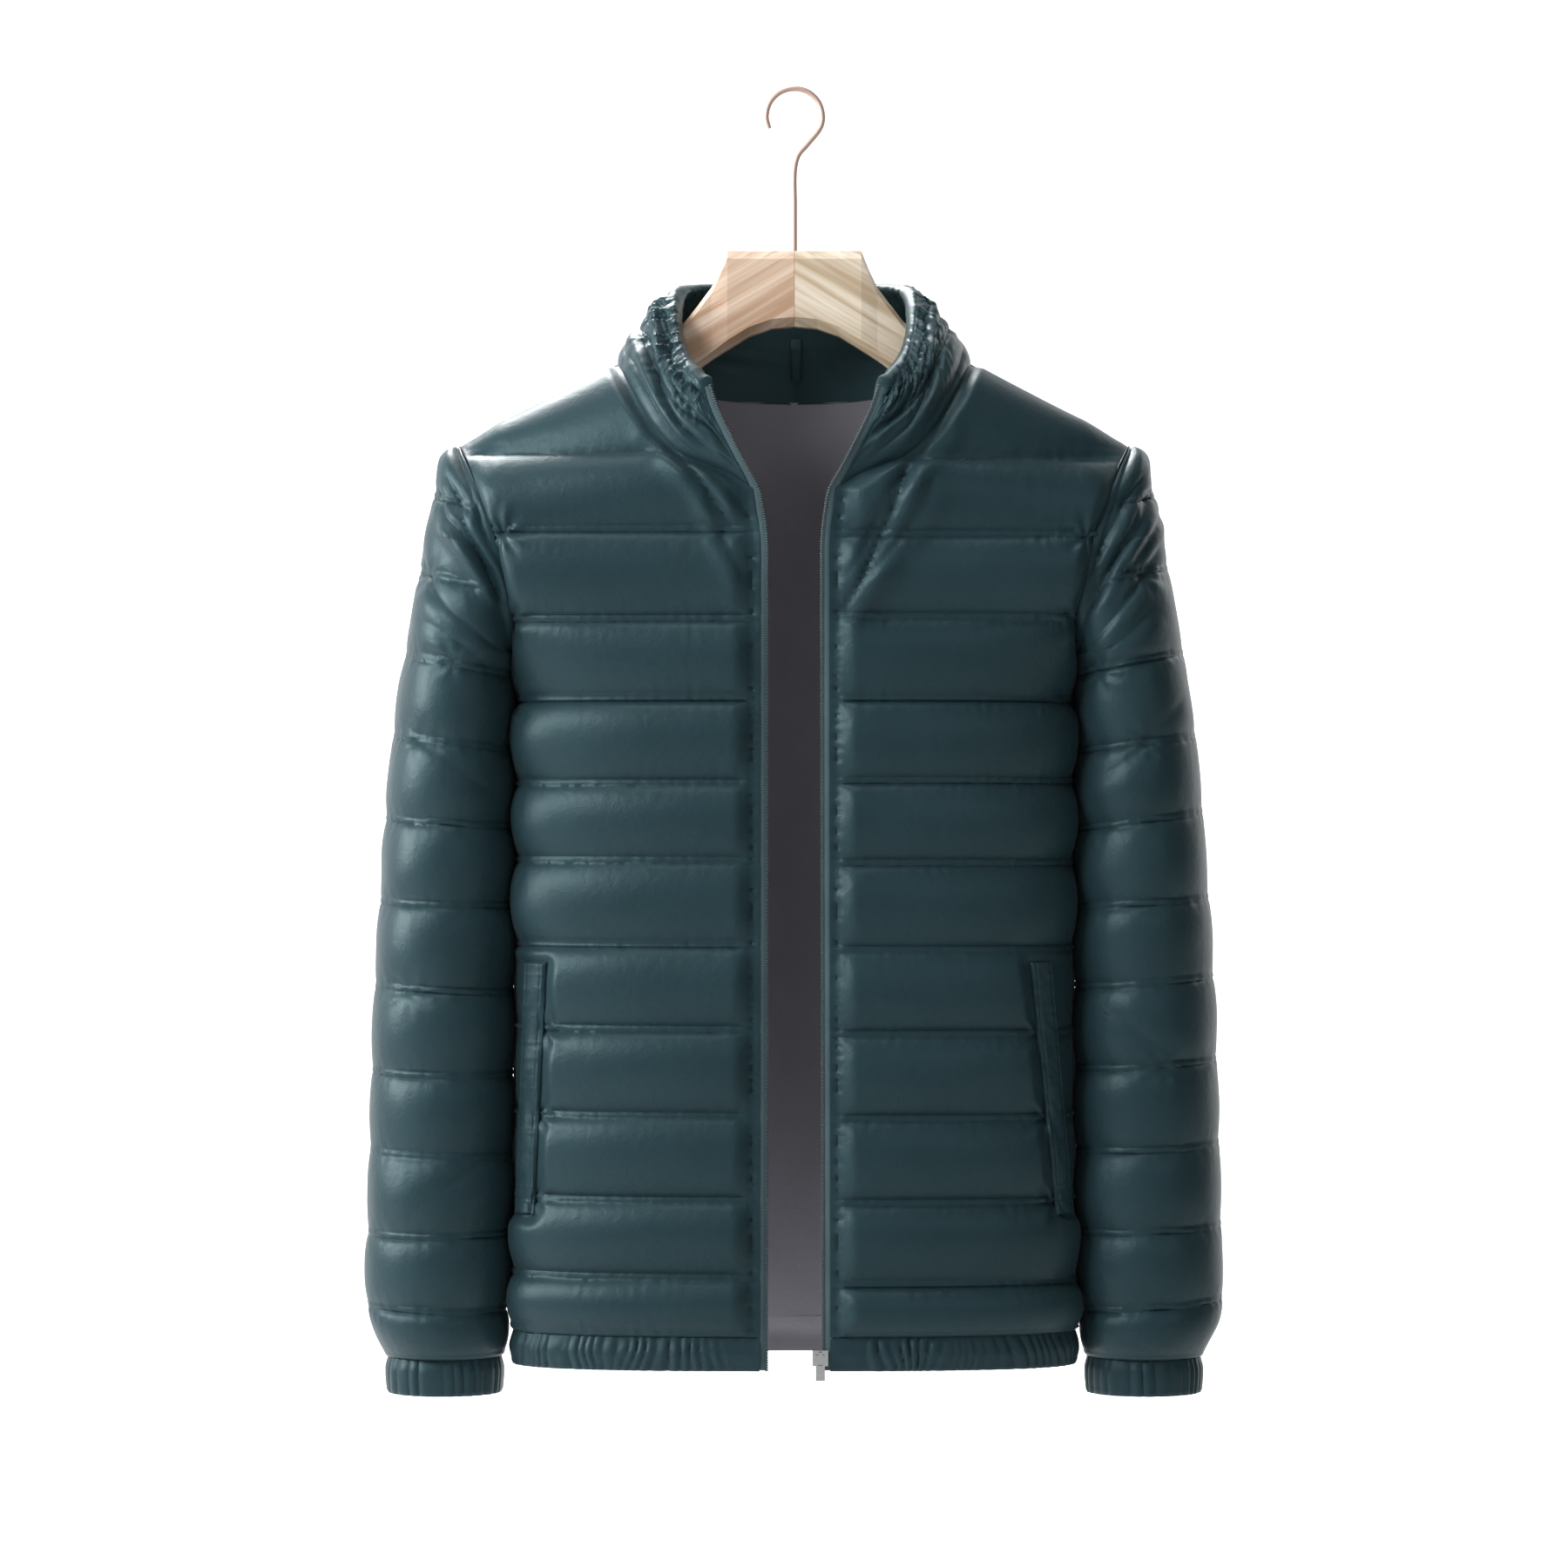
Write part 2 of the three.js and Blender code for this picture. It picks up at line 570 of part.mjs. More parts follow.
function makeSleeve(side) {
  const rows = sleeveRows();
  const grid = rows.map((row, i) => Array.from({ length: SLEEVE_COLUMNS + 1 }, (_, j) => {
    const around = (2 * j) / SLEEVE_COLUMNS - 1;
    if (i === 0) {
      const angle = around * THREE.MathUtils.degToRad(ARMHOLE_TOP_ANGLES[SLEEVE_FIRST]);
      const z = SHOULDER_TIP.z - ARMHOLE.halfHeight * (1 - Math.cos(angle));
      const out = mix(SEAM_GAP / 2, row.outerX - SHOULDER_TIP.x, 1 - around * around);
      return point(side * (bodyEdge(z).x + out), ARMHOLE.halfDepth * Math.sin(angle), z);
    }
    const open = Math.max(row.open, SEAM_GAP / 2);
    const lean = Math.sqrt(Math.max(1 - (open / row.halfDepth) ** 2, 0));
    const half = (row.outerX - row.innerX) / (1 + lean);
    const end = Math.PI - Math.asin(Math.min(open / row.halfDepth, 1));
    const angle = around * end;
    const x = row.outerX - half + half * Math.cos(angle);
    const across = (x - row.innerX) / (row.outerX - row.innerX);
    const y = row.centre + row.halfDepth * Math.sin(angle);
    return point(side * x, y, mix(row.innerZ, row.outerZ, across));
  }));
  const beside = (i, j) => (j === 0 || j === SLEEVE_COLUMNS) && rows[i].innerZ >= -402;
  return wall({
    grid,
    outward: side,
    rise: (i, j) => {
      const around = Math.abs((2 * j) / SLEEVE_COLUMNS - 1);
      const front = mix(PUFF.sleeveOuter, PUFF.sleeve, ease(0, 0.45, around));
      const head = rows[i].innerZ > -440;
      return rows[i].rise * mix(front, head ? 0 : PUFF.sleeveInner, ease(head ? 0.45 : 0.6, head ? 0.8 : 1, around));
    },
    depth: (i) => (i === 0 ? 0.8 * WALL : WALL),
    plain: (i) => i < SLEEVE_HEAD.length || rows[i].rise === 0,
    edge: (i, j, normal) => {
      const p = grid[i][j];
      if (i === 0) {
        return armholeInward(p, 0).negate();
      }
      if (beside(i, j)) {
        return armholeInward(p, side).negate();
      }
      return j === 0 || j === SLEEVE_COLUMNS ? point(-side, 0, 0) : normal;
    },
  });
}

// Collar: one piece round the neck from zip to zip, standing on the neck seam
const rimAt = Object.fromEntries(['x', 'y', 'z'].map((name) => [name, smooth(COLLAR_RIM, 'way', name)]));

function collarBase(side) {
  const edge = { x: SHOULDER_TIP.x, y: 0 };
  const front = NECK_FRONT.map(({ x, z }, k) => {
    const row = bodyRows[NECK_FRONT.length - 1 - k];
    const p = bodyPoint(x, z, bodyEdge(row.z), -1);
    p.y -= standForward(x, z, zipEdge[side](Math.max(z, -330)));
    return p;
  });
  const back = NECK_BACK.map(({ x, z }) => bodyPoint(x, z, edge, 1));
  return [...front, ...back].map((p) => point(side * p.x, p.y, p.z));
}

function makeCollar() {
  const halves = [-1, 1].map((side) => {
    const base = collarBase(side);
    const lengths = base.map((p, k) => (k ? p.distanceTo(base[k - 1]) : 0));
    const total = lengths.reduce((a, b) => a + b, 0);
    let way = 0;
    return base.map((p, k) => {
      way += lengths[k] / total;
      const share = Math.min(way, 1);
      return { base: p, rim: point(side * rimAt.x(share), rimAt.y(share), rimAt.z(share)) };
    });
  });
  const ends = [...halves[0], ...halves[1].slice(0, -1).reverse()];
  const steps = [...PUFF_STEPS.map((s) => s / 2), ...PUFF_STEPS.slice(1).map((s) => 0.5 + s / 2)];
  const rise = [0, 0.75, 1, 0.75, 0, 0.75, 1, 0.75, 0.3];
  const flat = steps.map((step) => ends.map(({ base, rim }) => {
    const start = base.clone().add(rim.clone().sub(base).setLength(SEAM_GAP * 2));
    return start.lerp(rim, step);
  }));
  const normals = gridNormals(flat, 1);
  const grid = flat.map((row, i) => row.map((p, j) => {
    const bow = COLLAR.bow * Math.sin(Math.PI * Math.min(steps[i] * 1.02, 1));
    return p.clone().addScaledVector(normals[i][j], bow);
  }));
  return wall({
    grid,
    outward: 1,
    rise: (i, j) => rise[i] * COLLAR.puff * (j === 0 || j === ends.length - 1 ? 0.3 : 1),
    depth: (i) => mix(WALL, COLLAR.rimWall, steps[i]),
    plain: (i) => i % 2 === 0,
  });
}

// Cuff: a gathered ring below each sleeve
function makeCuff(side) {
  const count = CUFF.folds * 2;
  const ring = (z, inset, fold) => Array.from({ length: count }, (_, j) => {
    const angle = (j / count) * 2 * Math.PI;
    const out = fold * Math.cos(CUFF.folds * angle) - inset;
    return point(
      side * (CUFF.centreX + (CUFF.halfWidth + out) * Math.cos(angle)),
      CUFF.centreY + (CUFF.halfDepth + out) * Math.sin(angle),
      z,
    );
  });
  const rings = [
    ring(SLEEVE_END - SEAM_GAP, 1.2, CUFF.fold * 0.4),
    ring(mix(SLEEVE_END, CUFF_BOTTOM, 0.45), 0, CUFF.fold),
    ring(CUFF_BOTTOM, 0.6, CUFF.fold),
    ring(CUFF_BOTTOM, 0.6 + CUFF.wall, CUFF.fold),
    ring(mix(SLEEVE_END, CUFF_BOTTOM, 0.45), CUFF.wall, CUFF.fold),
    ring(SLEEVE_END - SEAM_GAP, 1.2 + CUFF.wall, CUFF.fold * 0.4),
  ];
  const triangles = [];
  rings.forEach((_, i) => {
    const [here, there] = [i * count, ((i + 1) % rings.length) * count];
    for (let j = 0; j < count; j += 1) {
      const next = (j + 1) % count;
      triangles.push(here + j, there + j, there + next, here + j, there + next, here + next);
    }
  });
  return solid(rings.flat(), triangles);
}

// Hem band: one gathered strip from zip to zip
function makeHem() {
  const angles = [];
  const steps = 44;
  for (let k = 0; k <= steps; k += 1) {
    angles.push(mix(-1, 1, k / steps));
  }
  const heights = [HEM_Z - SEAM_GAP, mix(HEM_Z, HEM_BOTTOM, 0.5), HEM_BOTTOM];
  const inset = [1, -0.2, 0.8];
  const grid = heights.map((z, i) => angles.map((turn, k) => {
    const side = turn < 0 ? -1 : 1;
    const xIn = zipEdge[side](z) + TAPE_WIDTH;
    const edge = { x: halfWidthBelow(z) - inset[i], y: 0 };
    const start = Math.asin((xIn / edge.x) ** (SECTION_POWER / 2));
    const angle = mix(Math.PI, start, Math.abs(turn) ** 0.9);
    const share = Math.abs(Math.sin(angle)) ** (2 / SECTION_POWER);
    const x = k === steps || k === 0 ? xIn : edge.x * share;
    const p = bodyPoint(x, z, edge, angle > Math.PI / 2 ? 1 : -1);
    const ripple = k % 2 ? 0.8 : -0.4;
    return point(side * p.x, p.y * (1 - inset[i] / 70) + Math.sign(p.y) * (Math.abs(turn) < 1 ? ripple : 0), z);
  }));
  return wall({
    grid,
    outward: -1,
    rise: () => 0,
    depth: () => 2.6,
    plain: () => true,
    edge: (i, j, normal) => (i === 1 ? normal : point(normal.x, normal.y, 0).normalize()),
  }).geometry;
}

// Zip tape: a flat strip with the thicker coil on its free edge, along one front edge
function makeTape(side, front, collarColumn) {
  const body = front.outer.map((row, i) => ({ p: row[0], normal: front.normals[i][0], z: bodyRows[i].z }))
    .filter(({ z }, i) => i >= NECK_FRONT.length - 1 && (z > -440 || BODY_SEAMS.includes(z)));
  const path = [...collarColumn.slice().reverse(), ...body];
  const hem = path[path.length - 1];
  [HEM_BOTTOM, ZIP_BOTTOM].forEach((z) => path.push({ p: point(hem.p.x, hem.p.y + 0.6, z), normal: hem.normal }));
  const rings = path.map(({ p, normal }, k) => {
    const before = path[Math.max(k - 1, 0)].p;
    const after = path[Math.min(k + 1, path.length - 1)].p;
    const along = after.clone().sub(before).normalize();
    const across = along.clone().cross(normal).normalize();
    across.multiplyScalar(Math.sign(-side * across.x));
    const back = along.clone().cross(across).normalize();
    back.multiplyScalar(-Math.sign(back.dot(normal)));
    const at = (out, deep) => p.clone().addScaledVector(across, out).addScaledVector(back, deep);
    return [at(0.5, 0.9), at(3.4, 0.9), at(3.9, 0.3), at(TAPE_WIDTH, 0.5),
      at(TAPE_WIDTH, 2.7), at(3.9, 2.9), at(3.4, 2.3), at(0.5, 2.3)];
  });
  return loft(rings);
}

// Pocket welt: a strip standing just off the raised outer face of a front
function makeWelt(side, front) {
  const edges = side < 0 ? WELT.left : WELT.right;
  const inside = bodyRows.map((row, i) => i).filter((i) => {
    const { z } = bodyRows[i];
    return z <= WELT.top && z >= WELT.bottom;
  });
  const heights = [WELT.top, ...inside.map((i) => bodyRows[i].z), WELT.bottom];
  const rowsAt = heights.map((z) => {
    const i = bodyRows.findIndex((row, k) => k && row.z <= z);
    const t = (z - bodyRows[i - 1].z) / (bodyRows[i].z - bodyRows[i - 1].z);
    return front.outer[i].map((p, j) => front.outer[i - 1][j].clone().lerp(p, t));
  });
  const grid = rowsAt.map((row, i) => {
    const down = (heights[i] - WELT.top) / (WELT.bottom - WELT.top);
    const shares = [mix(edges.topIn, edges.bottomIn, down), mix(edges.topOut, edges.bottomOut, down)];
    return Array.from({ length: WELT.columns + 1 }, (_, k) => {
      const x = mix(shares[0], shares[1], k / WELT.columns) * bodyEdge(heights[i]).x;
      const j = row.findIndex((p) => Math.abs(p.x) >= x);
      const t = (x - Math.abs(row[j - 1].x)) / (Math.abs(row[j].x) - Math.abs(row[j - 1].x));
      return row[j - 1].clone().lerp(row[j], t);
    });
  });
  return wall({
    grid, outward: side, rise: () => WELT.lift + WELT.thick, depth: () => -WELT.lift, plain: () => true,
  }).geometry;
}

// Hanging loop inside the back of the collar, sewn down at both ends and bowed between them
function makeLoop(lining) {
  const { left, right, top, bottom, thick, bow, clear } = LOOP;
  const steps = 6;
  return loft(Array.from({ length: steps + 1 }, (_, k) => {
    const z = mix(top, bottom, k / steps);
    const above = lining.findIndex((p) => p.z >= z);
    const t = (z - lining[above - 1].z) / (lining[above].z - lining[above - 1].z);
    const y = mix(lining[above - 1].y, lining[above].y, t) - clear - bow * Math.sin((Math.PI * k) / steps);
    return [point(left, y - thick, z), point(right, y - thick, z), point(right, y, z), point(left, y, z)];
  }));
}

// Hanger: an eight-sided section that changes from one arm's end to the other
function makeHanger() {
  const sections = [...HANGER_SECTIONS.slice(1).reverse().map((s) => ({ ...s, x: -s.x })), ...HANGER_SECTIONS];
  const rings = sections.map(({ x, top, bottom, half }) => {
    const cut = half * HANGER_CHAMFER * 2;
    const low = Math.min(cut, (top - bottom) / 3);
    const flat = half - cut;
    return [
      point(x, -flat, top), point(x, flat, top), point(x, half, top - low), point(x, half, bottom + low),
      point(x, flat, bottom), point(x, -flat, bottom), point(x, -half, bottom + low), point(x, -half, top - low),
    ];
  });
  const hole = new THREE.CylinderGeometry(HOOK.hole, HOOK.hole, HOOK.holeDepth * 2, 16);
  hole.rotateX(Math.PI / 2);
  hole.translate(0, 0, HANGER_SECTIONS[0].top);
  return fromManifold(toManifold(loft(rings)).subtract(toManifold(hole)));
}

// Hook: one round wire, from its open end over the top and down into the wood
function makeHook() {
  const centre = -(HOOK.radius - HOOK.wire / 2);
  const arc = [205, 180, 150, 120, 90, 60, 30, 0, -25].map((degrees) => {
    const turn = THREE.MathUtils.degToRad(degrees);
    return point(HOOK.radius * Math.cos(turn), 0, centre + HOOK.radius * Math.sin(turn));
  });
  const path = [...arc, point(9, 0, -38), point(2.5, 0, -46), point(0, 0, -57), point(0, 0, -80), point(0, 0, HOOK.shankBottom)];
  const shape = new THREE.Shape();
  shape.absarc(0, 0, HOOK.wire / 2, 0, Math.PI * 2, false);
  return new THREE.ExtrudeGeometry(shape, {
    extrudePath: new THREE.CatmullRomCurve3(path, false, 'centripetal'), steps: 32, curveSegments: 4, bevelEnabled: false,
  });
}

// A box between two corners
function block(low, high) {
  const box = new THREE.BoxGeometry(high.x - low.x, high.y - low.y, high.z - low.z);
  box.translate((low.x + high.x) / 2, (low.y + high.y) / 2, (low.z + high.z) / 2);
  return toManifold(box);
}

// Slider: two plates either side of the coil, joined beyond it, with a bridge for the pull
function makeSlider(faceY) {
  const left = SLIDER.x - SLIDER.width / 2;
  const right = left + SLIDER.width;
  const bottom = SLIDER.top - SLIDER.height;
  const coilBack = faceY + 2.9 + SLIDER.clear;
  const coilFront = faceY + 0.3 - SLIDER.clear;
  const front = coilFront - SLIDER.plate;
  const body = block(point(left, front, bottom), point(right, coilBack + SLIDER.plate, SLIDER.top));
  const slot = block(point(zipEdge[1](bottom) - 0.5, coilFront, bottom - 1), point(right + 1, coilBack, SLIDER.top + 1));
  const pivotY = front - 0.5 - PULL.thick / 2;
  const crown = pivotY - BRIDGE.reach;
  const z = PULL.pivotZ;
  const [low, high] = [SLIDER.x - BRIDGE.width / 2, SLIDER.x + BRIDGE.width / 2];
  const bridge = block(
    point(low, crown - BRIDGE.wall, z - BRIDGE.lower - BRIDGE.wall),
    point(high, front + 0.2, z + BRIDGE.upper + BRIDGE.wall),
  ).subtract(block(point(low - 1, crown, z - BRIDGE.lower), point(high + 1, front, z + BRIDGE.upper)));
  return { geometry: fromManifold(body.subtract(slot).add(bridge)), pivotY };
}

// Pull: a flat tab with a window, hanging from its top bar in the slider's bridge
function makePull(pivotY) {
  const bar = PULL.thick / 2;
  const [left, right] = [SLIDER.x - PULL.width / 2, SLIDER.x + PULL.width / 2];
  const tab = block(point(left, pivotY - bar, PULL.pivotZ + bar - PULL.length), point(right, pivotY + bar, PULL.pivotZ + bar));
  const window = block(
    point(SLIDER.x - PULL.windowWidth / 2, pivotY - PULL.thick, PULL.pivotZ - bar - PULL.windowHeight),
    point(SLIDER.x + PULL.windowWidth / 2, pivotY + PULL.thick, PULL.pivotZ - bar),
  );
  return fromManifold(tab.subtract(window));
}

const group = new THREE.Group();
function add(name, geometry, colour, roughness, metalness = 0) {
  const mesh = new THREE.Mesh(geometry, new THREE.MeshStandardMaterial({ color: colour, roughness, metalness }));
  mesh.name = name;
  group.add(mesh);
}

const SHELL = ['#2c4046', 0.42];
const BAND = ['#263a3f', 0.5];
const frontLeft = makeFront(-1);
const frontRight = makeFront(1);
const collar = makeCollar();
const collarEnd = (pick) => collar.outer.map((row, i) => ({ p: pick(row), normal: pick(collar.normals[i]) }));
add('front_left', frontLeft.geometry, ...SHELL);
add('front_right', frontRight.geometry, ...SHELL);
add('back', makeBack().geometry, ...SHELL);
add('collar', collar.geometry, ...SHELL);
add('sleeve_left', makeSleeve(-1).geometry, ...SHELL);
add('sleeve_right', makeSleeve(1).geometry, ...SHELL);
add('cuff_left', makeCuff(-1), ...BAND);
add('cuff_right', makeCuff(1), ...BAND);
add('hem_band', makeHem(), ...BAND);
add('welt_left', makeWelt(-1, frontLeft), ...SHELL);
add('welt_right', makeWelt(1, frontRight), ...SHELL);
add('zip_tape_left', makeTape(-1, frontLeft, collarEnd((row) => row[0])), '#5f6d6f', 0.7);
add('zip_tape_right', makeTape(1, frontRight, collarEnd((row) => row[row.length - 1])), '#5f6d6f', 0.7);
const sliderFace = frontRight.outer[bodyRows.length - 1][0].y + 0.6;
const slider = makeSlider(sliderFace);
add('zip_slider', slider.geometry, '#b9bcbd', 0.3, 1);
add('zip_pull', makePull(slider.pivotY), '#b9bcbd', 0.3, 1);
const middle = (collar.inner[0].length - 1) / 2;
add('hang_loop', makeLoop(collar.inner.map((row) => row[middle])), ...BAND);
add('hanger', makeHanger(), '#dcc09a', 0.55);
add('hook', makeHook(), '#c9b3a8', 0.28, 1);

export default group;
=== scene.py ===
import bpy
import numpy as np
from math import pi, radians
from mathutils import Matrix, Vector


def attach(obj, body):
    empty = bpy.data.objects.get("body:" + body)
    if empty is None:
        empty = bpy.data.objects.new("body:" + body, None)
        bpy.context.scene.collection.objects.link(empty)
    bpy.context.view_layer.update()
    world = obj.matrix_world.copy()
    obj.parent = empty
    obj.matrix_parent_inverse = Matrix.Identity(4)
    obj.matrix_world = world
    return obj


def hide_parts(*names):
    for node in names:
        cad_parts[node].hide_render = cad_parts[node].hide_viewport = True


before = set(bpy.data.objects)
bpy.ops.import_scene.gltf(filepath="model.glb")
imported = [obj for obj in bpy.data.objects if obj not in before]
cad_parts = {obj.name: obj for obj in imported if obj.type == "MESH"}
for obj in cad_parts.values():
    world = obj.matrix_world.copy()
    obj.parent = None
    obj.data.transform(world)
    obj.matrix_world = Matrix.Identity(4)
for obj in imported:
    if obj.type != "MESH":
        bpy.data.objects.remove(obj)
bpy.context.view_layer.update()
scene = bpy.context.scene

# ---------------------------------------------------------------------------
# Fronts and back
# Three cut panels of satin nylon over loose filling, with a grey woven lining inside.
# Straight stitch lines cross them and hold the filling in level channels.

WALL = 3.2
SEAM_GAP = 0.3
SECTION_POWER = 2.8
SHOULDER_NECK = (124.0, -195.0)
SHOULDER_TIP = (237.0, -257.0)
SHOULDER_ROUND = 110.0
ARMHOLE_X, ARMHOLE_RISE, ARMHOLE_POWER = 196.0, 41.0, 2.0
ARMHOLE_BOTTOM, ARMHOLE_DEPTH, ARMHOLE_HEIGHT = -401.0, 62.0, 72.0
HEM_Z, HEM_BOTTOM = -878.0, -902.0
TAPE_WIDTH = 6.0
PUFF_FRONT, PUFF_SIDE = 9.5, 3.5
LIFT, LIFT_REACH = 3.0, 30.0
LEDGE, LEDGE_RISE, CHANNEL = 4.0, 1.9, 57.0
SIDE_LEAST, ZIP_STITCH = 1.6, 5.5

# height, half width, front depth, back depth of the body
BODY_SIZE = np.array([
    (-401, 196.0, 73, 70),
    (-548, 195.5, 72, 69),
    (-785, 197.0, 68, 66),
    (-841, 198.5, 66, 65),
    (-902, 201.0, 65, 64),
])

# Stitch line heights: left front, right front, back
BODY_SEAMS = np.array([
    (-262, -267, -264.0),
    (-317, -320, -318.5),
    (-379, -377, -378.0),
    (-435, -435, -435.0),
    (-493, -492, -492.5),
    (-547, -549, -548.0),
    (-607, -609, -608.0),
    (-665, -668, -666.5),
    (-725, -727, -726.0),
    (-784, -786, -785.0),
    (-838, -844, -841.0),
    (-877, -879, HEM_Z),
])

# Neck seam from the zip to the shoulder, x and z
NECK_FRONT = np.array([
    (31, -285.5), (44, -277), (61, -269.5), (78.5, -261.5), (95, -245.5),
    (107, -228), (116.5, -210), (121.8, -199.5), (123.6, -196.2), SHOULDER_NECK,
])
NECK_BACK = np.array([(121, -195.6), (112, -198.5), (97, -204.5), (70, -211), (36, -215), (0, -216)])

# Free edge of the zip: height, left x, right x
ZIP_EDGE = np.array([
    (-214, 59.0, 57.0), (-229, 52.5, 51.0), (-255, 37.0, 36.0), (-286, 25.0, 24.0),
    (-318, 18.5, 18.5), (-356, 18.0, 18.0), (-904, 18.5, 19.0),
])

# Row heights at the outer edge: angles down the armhole's top, then heights
TOP_ANGLES = np.radians([0, 3, 6, 10, 14.5, 19])
ROW_HEIGHTS = np.array([-264, -271, -281, -292, -303, -318.5, -331, -345, -358, -378, -390, -401,
                        -416.5, -435, -492.5, -548, -608, -666.5, -726, -785, -841, HEM_Z])
HEAD_ROWS = 6


def through(at, values, where):
    """Smooth curve through the points (at, values): a cubic Hermite whose slope at each
    point is that of the line between its two neighbours."""
    at, values, where = (np.asarray(a, float) for a in (at, values, where))
    if at[-1] < at[0]:
        at, values = at[::-1], values[::-1]
    low = np.maximum(np.arange(len(at)) - 1, 0)
    high = np.minimum(np.arange(len(at)) + 1, len(at) - 1)
    slope = (values[high] - values[low]) / (at[high] - at[low])
    i = np.clip(np.searchsorted(at, where) - 1, 0, len(at) - 2)
    span = at[i + 1] - at[i]
    t = np.clip((where - at[i]) / span, 0, 1)
    return ((2 * t**3 - 3 * t**2 + 1) * values[i] + (t**3 - 2 * t**2 + t) * span * slope[i]
            + (3 * t**2 - 2 * t**3) * values[i + 1] + (t**3 - t**2) * span * slope[i + 1])


def mix(a, b, share):
    """Straight blend: a where share is 0, b where it is 1."""
    return a + (b - a) * share


def ease(start, end, value):
    """Smooth step 3t^2 - 2t^3, with t the clipped share of the way from start to end."""
    t = np.clip((value - start) / (end - start), 0, 1)
    return t * t * (3 - 2 * t)


def soft_noise(u, v, seed):
    """Value noise from -1 to 1: seeded random numbers on the unit lattice, blended
    across each cell with a smooth step in u and in v."""
    table = np.random.default_rng(seed).uniform(-1, 1, (64, 64))
    iu, iv = np.floor(u).astype(int), np.floor(v).astype(int)
    fu, fv = ease(0, 1, u - iu), ease(0, 1, v - iv)
    a, b = table[iu % 64, iv % 64], table[(iu + 1) % 64, iv % 64]
    c, d = table[iu % 64, (iv + 1) % 64], table[(iu + 1) % 64, (iv + 1) % 64]
    return mix(mix(a, b, fu), mix(c, d, fu), fv)


def smooth_along(values, reach):
    """Running mean down the rows, repeated twice; the ends keep their own value."""
    for _ in range(2):
        padded = np.concatenate([np.repeat(values[:1], reach, 0), values, np.repeat(values[-1:], reach, 0)])
        total = np.cumsum(np.concatenate([np.zeros_like(padded[:1]), padded]), axis=0)
        values = (total[2 * reach + 1:] - total[:-2 * reach - 1]) / (2 * reach + 1)
    return values


def ridge(x):
    """Height of the shoulder line: a straight slope through its neck and tip points."""
    slope = (SHOULDER_TIP[1] - SHOULDER_NECK[1]) / (SHOULDER_TIP[0] - SHOULDER_NECK[0])
    return SHOULDER_NECK[1] + (x - SHOULDER_NECK[0]) * slope


def body_edge(z):
    """Outer edge of the body at height z: on the armhole, x rises as a power of the way
    up and y follows an ellipse; below it, x is the side seam and y is 0."""
    below = z <= ARMHOLE_BOTTOM
    share = np.clip((z - ARMHOLE_BOTTOM) / (SHOULDER_TIP[1] - ARMHOLE_BOTTOM), 0, 1)
    rise = np.clip((z - SHOULDER_TIP[1] + ARMHOLE_HEIGHT) / ARMHOLE_HEIGHT, -1, 1)
    side = through(BODY_SIZE[:, 0], BODY_SIZE[:, 1], z)
    x = np.where(below, side, ARMHOLE_X + ARMHOLE_RISE * share**ARMHOLE_POWER)
    y = np.where(below, 0, ARMHOLE_DEPTH * np.sqrt(np.maximum(1 - rise**2, 0)))
    return x, y


def body_y(x, z, edge_x, edge_y, facing):
    """Depth of the body: a superellipse across, from the full depth at the middle to the
    edge's depth, and a quarter ellipse down from the shoulder line."""
    full = through(BODY_SIZE[:, 0], BODY_SIZE[:, 2 if facing < 0 else 3], z)
    drop = np.clip((ridge(x) - z) / SHOULDER_ROUND, 0, 1)
    depth = full * np.sqrt(1 - (1 - drop)**2)
    share = np.clip(x / edge_x, 0, 1)
    round_off = (1 - share**SECTION_POWER)**(1 / SECTION_POWER)
    return facing * mix(edge_y, depth, round_off)


def zip_x(z, side):
    """Distance of the zip's free edge from the middle at height z."""
    return through(ZIP_EDGE[:, 0], ZIP_EDGE[:, 1 if side < 0 else 2], z)


def stand_forward(x, z, zip_at):
    """How far the front edges stand forward of the chest beside the collar."""
    return 9 * ease(-430, -330, z) * np.exp(-np.maximum(x - zip_at, 0) / 26)


def armhole_lift(point, edge):
    """Moves points near the top of the armhole up and out, so that the seam there rides on
    the filling: full at the seam's own points (edge), fading as a bell with distance."""
    height = (edge[..., 2] - SHOULDER_TIP[1] + ARMHOLE_HEIGHT) / ARMHOLE_HEIGHT
    way = np.stack([0.3 + 0 * height, edge[..., 1] / ARMHOLE_DEPTH, np.maximum(height, 0)], axis=-1)
    way = way / np.linalg.norm(way, axis=-1, keepdims=True)
    far = np.linalg.norm(point - edge, axis=-1)
    amount = LIFT * ease(-0.15, 0.75, height) * np.exp(-(far / LIFT_REACH)**2)
    return point + way * amount[..., None]


def channel_phase(z, seams):
    """Place in the quilted channel, 0 at its upper stitch line and 1 at its lower one,
    the channel's number, and the distance to the nearer line."""
    k = np.clip(np.searchsorted(-seams, -z) - 1, 0, len(seams) - 2)
    phase = np.clip((z - seams[k]) / (seams[k + 1] - seams[k]), 0, 1)
    away = np.minimum(np.abs(z - seams[k]), np.abs(z - seams[k + 1]))
    return phase, k, away


def puff(phase):
    """Rise of the filling over a channel: a flattened half sine that leans down."""
    return np.sin(pi * np.clip(phase, 0, 1)**0.86)**0.62


def ledge(height):
    """Flat strip of cloth that lies on the seam allowance above a stitch line, at a height
    above the line: it rises at once and ends where the filling starts."""
    return LEDGE_RISE * ease(0, 0.9, height) * (1 - ease(LEDGE - 1.0, LEDGE + 0.6, height))


def grid_normals(grid, outward):
    """Unit normals of a grid of points: the cross product of its row and column steps."""
    normal = np.cross(np.gradient(grid, axis=0), np.gradient(grid, axis=1))
    normal /= np.linalg.norm(normal, axis=2, keepdims=True) + 1e-12
    return normal * outward


